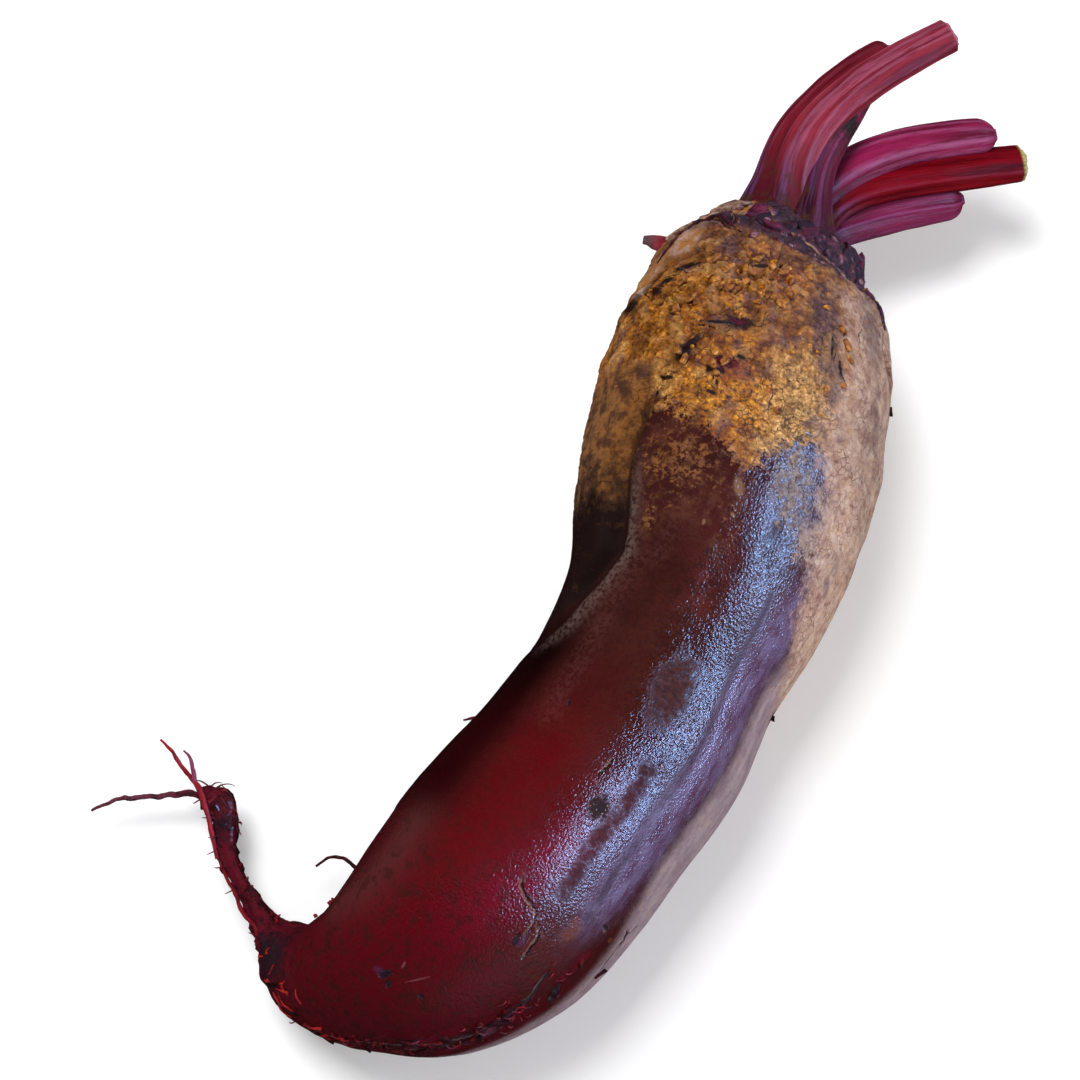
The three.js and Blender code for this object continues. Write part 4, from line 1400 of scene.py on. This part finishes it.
def makeCrumbs(name, zone, stops, changes):
    p = Paint(name + "Skin")
    noise = p.grain(1.4, 5, 0.7)
    colour = p.ramp(noise, tints(stops))
    material = p.finish(colour, 0.7, p.bump(p.grain(0.4, 4, 0.7), 0.2))
    piece = newObject(name, root.data.copy())
    growMesh(piece, crumbTree(zone), {**crumbLook, **changes, "material": material})
    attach(piece, "root")
    print("beetroot:", name, "made,", len(piece.data.polygons), "faces")


for crumbName, (zone, stops, changes) in crumbs.items():
    makeCrumbs(crumbName, zone, stops, changes)

# Leaf stalks: x, y, z of the middle, then half width and half thickness, from the crown to the cut end
stalks = {
    "leaf_stalk_left_middle": {
        "roll": -0.15,
        "ridges": 11,
        "seed": 1,
        "colours": ((140, 40, 56), (172, 94, 122), (100, 20, 38)),
        "cut": (176, 112, 128),
        "widen": 1.08,
        "rounded": 0.6,
        "narrowest": 0.72,
        "flare": 0.35,
        "stations": [
            (14.2, 79.5, 27.5, 5.4, 4.0),
            (11.6, 86.3, 31.5, 4.6, 3.4),
            (10.2, 93.0, 34.5, 4.1, 3.1),
            (10.9, 101.2, 36.5, 3.9, 2.9),
            (13.9, 109.5, 38.0, 3.7, 2.8),
            (19.0, 118.4, 39.5, 3.5, 2.7),
            (26.0, 128.4, 41.0, 3.3, 2.5),
        ],
    },
    "leaf_stalk_left_rear": {
        "roll": 0.5,
        "ridges": 8,
        "seed": 2,
        "colours": ((116, 26, 40), (138, 54, 74), (82, 12, 26)),
        "cut": (140, 66, 84),
        "widen": 1.15,
        "rounded": 2.4,
        "flare": 0.9,
        "stations": [
            (10.4, 79.5, 27.0, 4.8, 3.8),
            (8.0, 86.4, 30.0, 4.1, 3.2),
            (6.6, 93.2, 32.4, 3.7, 2.9),
            (7.0, 101.0, 34.0, 3.4, 2.7),
            (9.4, 109.2, 35.2, 3.2, 2.6),
            (12.6, 116.0, 36.2, 3.1, 2.5),
            (16.4, 122.2, 37.0, 2.9, 2.3),
        ],
    },
    "leaf_stalk_left_front": {
        "roll": -0.5,
        "ridges": 8,
        "seed": 3,
        "colours": ((108, 30, 58), (132, 64, 110), (68, 13, 34)),
        "gloss": 0.04,
        "cut": (40, 34, 30),
        "widen": 1.15,
        "rounded": 0.6,
        "narrowest": 0.72,
        "flare": 0.5,
        "dirt": 0.55,
        "stations": [
            (17.4, 80.0, 28.0, 4.4, 3.6),
            (15.4, 87.2, 31.5, 3.7, 3.1),
            (14.2, 93.0, 33.6, 3.2, 2.7),
            (14.2, 99.5, 35.0, 2.7, 2.3),
            (15.3, 105.3, 36.0, 2.1, 1.9),
            (16.4, 110.3, 36.8, 1.3, 1.2),
        ],
    },
    "leaf_stalk_right_middle": {
        "roll": 0.2,
        "ridges": 9,
        "seed": 4,
        "colours": ((116, 4, 18), (134, 10, 28), (72, 2, 10)),
        "cut": (190, 192, 128),
        "gloss": 0.05,
        "widen": 1.28,
        "greenEnd": 1.0,
        "rounded": 0.6,
        "narrowest": 0.72,
        "flare": 0.4,
        "stations": [
            (15.8, 81.0, 24.5, 4.4, 3.8),
            (17.6, 88.6, 25.0, 3.9, 3.2),
            (20.2, 94.4, 25.0, 3.6, 3.0),
            (24.3, 99.5, 24.7, 3.4, 2.9),
            (31.7, 106.1, 24.0, 3.3, 2.8),
            (39.9, 112.7, 23.0, 3.2, 2.7),
            (48.8, 119.6, 22.0, 3.0, 2.5),
        ],
    },
    "leaf_stalk_right_top": {
        "roll": 0.6,
        "ridges": 9,
        "seed": 5,
        "colours": ((140, 30, 76), (158, 80, 124), (94, 14, 42)),
        "cut": (150, 50, 96),
        "widen": 1.34,
        "rounded": 4.0,
        "flare": 0.3,
        "stations": [
            (13.8, 82.0, 25.5, 3.8, 3.4),
            (15.4, 89.2, 26.6, 3.7, 3.2),
            (17.2, 95.8, 27.2, 3.5, 3.0),
            (21.0, 102.6, 27.2, 3.4, 2.8),
            (26.7, 109.3, 26.8, 3.3, 2.7),
            (33.8, 115.5, 26.0, 3.2, 2.6),
            (41.3, 121.2, 25.0, 3.0, 2.4),
        ],
    },
    "leaf_stalk_right_bottom": {
        "roll": -0.4,
        "ridges": 8,
        "seed": 6,
        "colours": ((122, 30, 72), (140, 58, 106), (82, 16, 44)),
        "cut": (140, 60, 104),
        "widen": 1.34,
        "rounded": 3.6,
        "flare": 0.4,
        "stations": [
            (18.2, 79.6, 23.0, 4.2, 3.6),
            (20.6, 86.8, 22.4, 3.7, 3.2),
            (24.0, 91.4, 22.0, 3.5, 3.0),
            (28.2, 96.3, 21.4, 3.3, 2.8),
            (34.2, 102.2, 20.5, 3.2, 2.7),
            (40.6, 107.8, 19.5, 3.0, 2.4),
        ],
    },
}
stalkLook = {
    "sides": 112,
    "step": 0.6,
    "twist": 0.3,
    "ridgeDepth": 0.075,
    "ridgeWidths": (0.09, 0.26),
    "ridgeHeights": (0.4, 1.0),
    "channelDepth": 0.12,
    "channelWidth": 0.6,
    "unevenness": 0.05,
    # the cut end: how wide each ring is, as a share of the end, and how far out it lies in mm
    "cutRings": ((0.93, 0.25), (0.8, 0.1), (0.5, -0.35), (0.2, -0.5)),
    "cutUnevenness": 0.25,
    # the plain rod that the streaks are read from
    "streakRadius": 3.4,
    "streakStretch": 0.07,
}
stalkPaint = {
    "glintDark": tint(38, 9, 22),
    "glint": tint(104, 72, 126),
    # painted shade near the crown
    "base": tint(44, 12, 24),
    "baseSoil": tint(70, 42, 28),
    "endSoil": tint(40, 28, 22),
}


def paintStalk(name, colours, cut, gloss):
    p = Paint(name)
    strand = p.put("ShaderNodeAttribute", attribute_name="strand").outputs["Vector"]
    fine, broad = p.grain(0.42, 4, 0.62, place=strand), p.grain(1.9, 4, 0.6, place=strand)
    rib = p.field("rib")
    main, pale, dark = (tint(*c) for c in colours)
    colour = p.mix(p.fade(broad, 0.38, 0.62), dark, main)
    lit = p.fade(p.plus(p.times(rib, 0.6), p.times(fine, 0.9)), 0.58, 0.98)
    colour = p.mix(p.times(lit, 0.5), colour, pale)
    colour = p.mix(p.times(p.fade(fine, 0.46, 0.32), 0.5), colour, dark)
    glint = p.mix(
        p.fade(p.plus(p.times(rib, 0.5), p.times(fine, 0.8)), 0.55, 0.9),
        stalkPaint["glintDark"],
        stalkPaint["glint"],
    )
    colour = p.mix(p.times(p.field("base"), p.fade(broad, 0.3, 0.62, 1.0, 0.45)), colour, glint)
    # painted shade: the stalks darkened near the crown
    colour = p.mix(p.times(p.field("base"), 0.42), colour, stalkPaint["base"])
    blotch = p.grain(3.2, 5, 0.7)
    soil = p.times(p.fade(blotch, 0.50, 0.62), p.times(p.field("base"), 0.9))
    colour = p.mix(soil, colour, stalkPaint["baseSoil"])
    colour = p.mix(p.times(p.fade(blotch, 0.40, 0.52), p.field("soil")), colour, stalkPaint["endSoil"])
    colour = p.mix(
        p.field("cut"), colour, p.mix(p.fade(fine, 0.4, 0.6), tint(*cut), p.mix(0.5, tint(*cut), main))
    )
    height = p.plus(p.times(fine, 1.0), p.times(p.grain(0.35, 2), 0.35))
    rough = p.blendNumber(p.field("cut"), 0.38, 0.6)
    return p.finish(colour, rough, p.bump(height, 0.12), gloss)


def makeStalk(name, stalk, look):
    rows = stalk["stations"]
    table, arcs = arcTable(rows)
    arc = np.linspace(0, arcs[-1], int(arcs[-1] / look["step"]))
    along = np.interp(arc, arcs, table)
    angles = np.linspace(-math.pi, math.pi, look["sides"], endpoint=False)
    rng = np.random.default_rng(stalk["seed"])
    share = arc / arcs[-1]
    twisted = angles[None] + (look["twist"] * (share - 0.5))[:, None]
    rib = np.zeros((len(arc), look["sides"]))
    for number in range(stalk["ridges"]):
        middle = (number + rng.uniform(-0.25, 0.25)) * 2 * math.pi / stalk["ridges"] - math.pi
        width, tall = rng.uniform(*look["ridgeWidths"]), rng.uniform(*look["ridgeHeights"])
        drift = rng.uniform(-0.25, 0.25) * np.sin(share * 3 + number)[:, None]
        off = (twisted - middle - drift + math.pi) % (2 * math.pi) - math.pi
        rib = np.maximum(rib, tall * bell(off, width))
    channel = look["channelDepth"] * bell(np.angle(np.exp(1j * twisted)), look["channelWidth"])
    scale = 1 - look["ridgeDepth"] * (1 - rib) + 0.05 - channel
    wider = 1 + (stalk["widen"] - 1) * smooth(6, 22, arc)
    scale = scale * ((1 + stalk["flare"] * bell(arc, 8)) * wider)[:, None]
    left = np.clip((arc - arcs[-1]) / stalk["rounded"] + 1, 0, stalk.get("narrowest", 0.96))
    scale = scale * np.sqrt(1 - left**2)[:, None] ** 0.8
    rod = np.stack(
        [np.cos(twisted), np.sin(twisted), np.repeat(arc[:, None], look["sides"], 1) / 9 + stalk["seed"]], -1
    )
    scale = scale + lumpy(rod, 0.9, stalk["seed"], 2) * look["unevenness"]
    grid = sweep(rows, along, angles[None], roll=stalk["roll"], scale=scale)
    # the cut end: drawn in over a few rings, a little hollow and uneven
    forward = axesAt(rows, along)[0]
    middle = grid[-1].mean(0)
    rim = grid[-1]
    rings = [grid]
    cut = smooth(arcs[-1] - stalk.get("greenEnd", 0.01), arcs[-1] - stalk.get("greenEnd", 0) * 0.55, arc)
    for inward, depth in look["cutRings"]:
        ring = middle + (rim - middle) * inward + forward[-1] * depth
        ring = ring + forward[-1] * (lumpy(ring, 1.2, 4, 2) * look["cutUnevenness"])[:, None]
        rings.append(ring[None])
    grid = np.concatenate(rings) + skin.shift
    extra = grid.shape[0] - len(arc)
    cut = np.concatenate([cut, np.linspace(0.5, 1, extra)])
    rib = np.concatenate([rib, np.repeat(rib[-1:], extra, 0)])
    lengths = np.concatenate([arc, np.full(extra, arc[-1])])
    shares = np.concatenate([share, np.ones(extra)])
    dirty = stalk.get("dirt", 2)
    shape = grid.shape[:2]
    values = {
        "rib": rib,
        "cut": np.broadcast_to(cut[:, None], shape),
        "soil": np.broadcast_to(smooth(dirty - 0.1, dirty + 0.25, shares)[:, None], shape),
        "base": np.broadcast_to(1 - smooth(4, 22, lengths)[:, None], shape),
    }
    material = paintStalk(name + "Skin", stalk["colours"], stalk["cut"], stalk.get("gloss", 0.1))
    piece = gridMesh(name + "_skin", grid, values, material)
    # the place that the streaks are read at: round a plain rod, and drawn out along it
    radius, drawn = look["streakRadius"], lengths[:, None] * look["streakStretch"]
    rod = np.broadcast_arrays(np.cos(angles)[None] * radius, np.sin(angles)[None] * radius, drawn)
    storeVectors(piece, "strand", np.stack(rod, -1) * mm)
    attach(piece, "root")
    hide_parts(name)


for stalkName, stalk in stalks.items():
    makeStalk(stalkName, stalk, stalkLook)
print("beetroot: leaf stalks made")

# Rootlets: x, y, z of the middle and then the radius, in mm, from where each grows out to its free end
rootlets = {
    "tail_rootlet": {
        "colours": ((58, 20, 28), (112, 40, 58)),
        "wander": 0.0011,
        "slot": "brown_rootlet",
        "line": [
            (-36.0, -68.5, 9.2, 0.74),
            (-38.8, -69.2, 9.0, 0.70),
            (-41.1, -70.7, 8.5, 0.61),
            (-44.0, -72.1, 8.3, 0.57),
            (-47.7, -74.4, 8.3, 0.49),
            (-51.3, -77.0, 8.0, 0.41),
            (-53.9, -79.7, 7.5, 0.23),
        ],
    },
    "red_rootlet": {
        "colours": ((124, 10, 28), (160, 22, 36)),
        "slot": "red_rootlet",
        "line": [
            (-27.6, -78.0, 10.2, 0.40),
            (-29.6, -75.6, 10.6, 0.48),
            (-31.9, -73.0, 11.5, 0.54),
            (-34.0, -70.8, 12.0, 0.54),
            (-36.0, -68.9, 12.2, 0.54),
            (-38.4, -67.4, 12.0, 0.51),
            (-41.4, -66.1, 11.5, 0.44),
            (-45.2, -64.1, 11.5, 0.34),
            (-48.3, -62.9, 11.0, 0.24),
        ],
    },
    "red_rootlet_branch": {
        "colours": ((120, 36, 66), (150, 60, 96)),
        "slot": "brown_rootlet",
        "line": [
            (-38.2, -67.5, 12.0, 0.48),
            (-39.6, -65.6, 12.4, 0.40),
            (-41.4, -63.9, 12.5, 0.32),
            (-43.2, -63.2, 12.0, 0.20),
        ],
    },
    "lower_rootlet": {
        "colours": ((96, 10, 22), (132, 18, 28)),
        "slot": "red_rootlet",
        "line": [
            (-11.6, -88.4, 13.4, 0.42),
            (-14.6, -86.6, 13.6, 0.39),
            (-17.8, -85.0, 13.2, 0.39),
            (-20.8, -82.9, 12.6, 0.36),
            (-23.9, -80.6, 12.0, 0.33),
            (-27.0, -78.2, 11.4, 0.21),
        ],
    },
    "inner_rootlet": {
        "colours": ((40, 12, 18), (84, 24, 26)),
        "slot": "brown_rootlet",
        "line": [
            (2.0, -68.6, 14.6, 0.5),
            (-2.8, -68.4, 13.2, 0.45),
            (-4.9, -67.8, 12.2, 0.4),
            (-6.9, -67.5, 11.2, 0.35),
            (-9.1, -68.3, 10.2, 0.3),
            (-10.9, -70.6, 9.2, 0.22),
        ],
    },
    "inner_rootlet_stub": {
        "colours": ((60, 18, 24), (96, 30, 36)),
        "slot": "brown_rootlet",
        "line": [
            (8.5, -31.2, 15.0, 0.5),
            (5.4, -32.0, 14.2, 0.45),
            (2.9, -32.6, 13.2, 0.35),
            (1.0, -33.8, 12.2, 0.22),
        ],
    },
}
threadLook = {
    "spacing": 0.0005, "wander": 0.0006, "wanderSize": 0.004, "knots": 0.45, "knotSize": 0.0016, "sides": 8
}


def threadTree():
    g = Grower("threads", threadLook)
    given = g.given
    inputs = {"Curve": given["Geometry"], "Length": given["spacing"]}
    fine = g.put("GeometryNodeResampleCurve", inputs, mode="LENGTH").outputs[0]
    rooted = g.fade(g.put("GeometryNodeSplineParameter").outputs["Length"], 0.0, 0.003)
    offset = g.jitter(given["wanderSize"], g.times(g.times(given["wander"], 2.0), rooted))
    wavy = g.moved(fine, offset)
    profile = g.put(
        "GeometryNodeCurvePrimitiveCircle", {"Resolution": given["sides"], "Radius": 1.0}
    ).outputs[0]
    lump = g.times(g.less(g.noise(given["knotSize"])[0], 0.5), 2.0)
    thick = g.times(g.put("GeometryNodeInputRadius").outputs[0], g.plus(1.0, g.times(lump, given["knots"])))
    inputs = {"Curve": wavy, "Profile Curve": profile, "Scale": thick, "Fill Caps": True}
    return g.end(g.smoothed(g.put("GeometryNodeCurveToMesh", inputs).outputs[0]))


threadGrower = threadTree()


def makeThreads(name, lines, look, material):
    # each line is a list of x, y, z and radius in mm
    curve = bpy.data.curves.new(name, "CURVE")
    curve.dimensions = "3D"
    for line in lines:
        rows = np.asarray(line, float)
        fine = curveAt(rows, np.linspace(0, len(rows) - 1, 6 * len(rows)))
        spline = curve.splines.new("POLY")
        spline.points.add(len(fine) - 1)
        flat = np.column_stack([fine[:, :3] * mm, np.ones(len(fine))])
        spline.points.foreach_set("co", flat.reshape(-1))
        spline.points.foreach_set("radius", np.maximum(fine[:, 3], 0.02) * mm)
    piece = growMesh(newObject(name, curve), threadGrower, {**threadLook, **look, "material": material})
    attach(piece, "root")
    return piece


def paintThread(name, first, second):
    p = Paint(name)
    colour = p.mix(p.fade(p.grain(1.8, 4, 0.65), 0.36, 0.62), tint(*first), tint(*second))
    colour = p.mix(p.fade(p.grain(0.6, 3, 0.6), 0.56, 0.7), colour, tint(*[c * 0.5 for c in first]))
    return p.finish(colour, 0.5, p.bump(p.grain(0.3, 3, 0.6), 0.12), 0.35)


for rootletName, rootlet in rootlets.items():
    line = [(x + skin.shift[0], y + skin.shift[1], z, r) for x, y, z, r in rootlet["line"]]
    material = paintThread(rootletName + "Skin", *rootlet["colours"])
    piece = makeThreads(rootletName + "_skin", [line], {"wander": rootlet.get("wander", 0.0005)}, material)
    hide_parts(rootletName)

# Fine hairs. Each patch has the ranges of arc and angle they spring from, how many there are, the range of
# their lengths and their radius in mm, and how far they stand up
hairs = {
    "tailHairs": {
        "colours": ((92, 14, 26), (138, 22, 32)),
        "seed": 3,
        "patches": [
            ((203, 220), (60, 110), 5, (1.2, 2.6), 0.15, 0.9),
            ((196, 210), (-60, -20), 4, (0.6, 1.4), 0.3, 0.9),
            ((184, 203), (60, 100), 4, (0.8, 2.4), 0.18, 0.7),
            ((199, 214), (-90, -40), 5, (0.6, 1.4), 0.34, 0.8),
            ((176, 186), (-62, -40), 4, (0.6, 1.2), 0.4, 0.7),
        ],
    },
    "fissureFibres": {
        "colours": ((58, 10, 14), (150, 16, 24)),
        "seed": 11,
        "patches": [
            ((157, 184), (60, 74), 70, (0.8, 2.4), 0.16, 0.3), ((150, 158), (52, 70), 10, (0.6, 1.6), 0.12, 0.2)
        ],
    },
    "tailTangle": {
        "colours": ((60, 16, 24), (112, 28, 32)),
        "seed": 8,
        "patches": [
            ((221, 230), (-120, 120), 18, (2.0, 5.0), 0.17, 0.5),
            ((214, 224), (40, 120), 6, (1.6, 3.4), 0.16, 0.7),
        ],
    },
    "orangeFibres": {
        "colours": ((124, 14, 18), (178, 34, 26)),
        "seed": 5,
        "patches": [
            ((181, 192), (36, 62), 9, (1.8, 3.8), 0.26, 0.02),
            ((188, 197), (20, 56), 4, (1.2, 2.6), 0.24, 0.03),
            ((222, 229), (-50, 30), 3, (2.0, 3.6), 0.26, 0.02),
        ],
    },
    "crownFibres": {
        "colours": ((96, 56, 20), (150, 98, 40)),
        "seed": 6,
        "patches": [
            ((21, 30), (-20, 24), 9, (1.2, 2.8), 0.14, 0.5), ((18, 30), (40, 70), 8, (1.2, 2.6), 0.14, 0.4),
            ((10, 15), (-50, 10), 8, (1.4, 3.0), 0.15, 0.3), ((30, 52), (-40, 40), 10, (0.8, 1.8), 0.1, 0.4),
        ],
    },
}


hairLook = {"steps": 6, "sunk": 0.25, "bow": 0.35, "bend": 1.4, "baseRadius": 1.15, "tipRadius": 0.35}


def hairLines(kind, look):
    rng = np.random.default_rng(kind["seed"])
    lines = []
    for arcs, angles, count, lengths, radius, standing in kind["patches"]:
        flat = 1.1 - standing
        for _ in range(count):
            arc, angle = rng.uniform(*arcs), rng.uniform(*angles)
            turn, length = rng.uniform(0, 2 * math.pi), rng.uniform(*lengths)
            bend, rise = rng.uniform(-look["bend"], look["bend"]), standing * rng.uniform(0.5, 1.3)
            reach = length / look["steps"] * flat
            line = []
            for share in np.linspace(0, 1, look["steps"]):
                heading = turn + bend * share
                arc += math.cos(heading) * reach
                half = max(float(np.interp(arc, skin.arc, skin.halves)), 2.0)
                angle += math.degrees(math.sin(heading) * reach / half)
                at, up = onSkin(np.array([arc]), np.array([angle]))
                lift = radius - look["sunk"] + length * rise * share + look["bow"] * math.sin(math.pi * share)
                point = at[0] + up[0] * lift
                thick = radius * (look["baseRadius"] + (look["tipRadius"] - look["baseRadius"]) * share)
                line.append((*point[:2], max(point[2], 0.3), thick))
            lines.append(line)
    return lines


for hairName, kind in hairs.items():
    material = paintThread(hairName + "Skin", *kind["colours"])
    look = {"spacing": 0.0004, "wander": 0.0003, "sides": 5}
    piece = makeThreads(hairName, hairLines(kind, hairLook), look, material)


def onSkinLine(points, radius, lift):
    # a line that follows the skin, thin at both ends
    arcs, angles = (np.array(values, float) for values in zip(*points))
    line = []
    for number, (place, outward) in enumerate(zip(*onSkin(arcs, angles))):
        inner = 0 < number < len(points) - 1
        line.append((*(place + outward * lift), radius * (1.0 if inner else 0.35)))
    return line


crownLines = {
    "crownEdge": (
        [(10, -16), (10.6, -6), (12.0, 4), (14.0, 14), (16.6, 26), (19.6, 38), (23.6, 50), (27, 58)], 0.26,
        0.08, (92, 56, 50), (164, 126, 106),
    ),
    # painted shadow: a dark line laid under the crown's rim
    "crownSeam": (
        [(21, -58), (19, -52), (15.4, -46), (14, -38), (14, -30), (15.4, -23), (17.6, -14)], 0.4, 0.05,
        (38, 16, 26), (74, 28, 44),
    ),
}
for lineName, (points, radius, lift, first, second) in crownLines.items():
    material = paintThread(lineName + "Skin", first, second)
    look = {"wander": 0.0009, "wanderSize": 0.003, "knots": 0.9}
    piece = makeThreads(lineName, [onSkinLine(points, radius, lift)], look, material)

# A dry spike that stands up from the cork below the crown
crownSpike = {
    "arc": 25.8, "angle": 5.0, "lean": (-2.6, 1.5), "sunk": 0.3, "height": 4.6, "radius": (0.42, 0.14)
}


def spikeLine(spike):
    steps = np.linspace(0, 1, 5)
    at = onSkin(spike["arc"] + spike["lean"][0] * steps, spike["angle"] + spike["lean"][1] * steps)[0]
    up = onSkin(np.array([spike["arc"]]), np.array([spike["angle"]]))[1][0]
    thick, thin = spike["radius"]
    points = [at[i] + up * (spike["height"] * step - spike["sunk"]) for i, step in enumerate(steps)]
    return [(*point, thick + (thin - thick) * step) for point, step in zip(points, steps)]


material = paintThread("spikeSkin", (78, 46, 16), (122, 78, 30))
piece = makeThreads("crownSpike", [spikeLine(crownSpike)], {"wander": 0.0003}, material)
print("beetroot: rootlets and hairs made")

# The shrivelled stub of a dead leaf on the left shoulder of the crown
leafStub = {
    "colours": ((110, 14, 34), (150, 36, 56)),
    "tip": (92, 70, 72),
    "creases": 5,
    "creaseDepth": 0.16,
    "channelDepth": 0.3,
    "channelWidth": 0.5,
    "stations": [
        (1.6, 70.4, 23.4, 4.6, 1.9),
        (-1.0, 69.8, 24.3, 3.9, 1.6),
        (-4.4, 68.4, 25.0, 3.0, 1.2),
        (-7.0, 67.8, 25.6, 1.9, 1.0),
        (-9.4, 67.3, 26.0, 1.3, 0.8),
        (-11.1, 66.7, 26.2, 0.9, 0.6),
    ],
}


def makeStub(stub):
    rows = stub["stations"]
    along = np.linspace(0, len(rows) - 1, 50)
    angles = np.linspace(-math.pi, math.pi, 48, endpoint=False)
    waves = stub["creaseDepth"] * np.sin(stub["creases"] * angles + 0.8)[None]
    channel = stub["channelDepth"] * bell(angles, stub["channelWidth"])[None]
    scale = 1 + waves * smooth(5, 2, along)[:, None] - channel
    grid = sweep(rows, along, angles[None], scale=scale) + skin.shift
    grid = grid + lumpy(grid, 2.5, 12, 2)[..., None] * np.array([0.1, 0.1, 0.35])
    p = Paint("driedLeaf")
    dark, main = (tint(*c) for c in stub["colours"])
    colour = p.mix(p.fade(p.grain(2.2, 4, 0.65), 0.38, 0.62), dark, main)
    colour = p.mix(p.field("tip"), colour, tint(*stub["tip"]))
    material = p.finish(colour, 0.5, p.bump(p.grain(0.6, 4, 0.6), 0.3))
    values = {"tip": np.broadcast_to(smooth(3.2, 4.6, along)[:, None], grid.shape[:2])}
    piece = gridMesh("driedLeafStub", grid, values, material)
    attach(piece, "root")
    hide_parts("dried_leaf_stub")


makeStub(leafStub)
print("beetroot: dried leaf stub made")
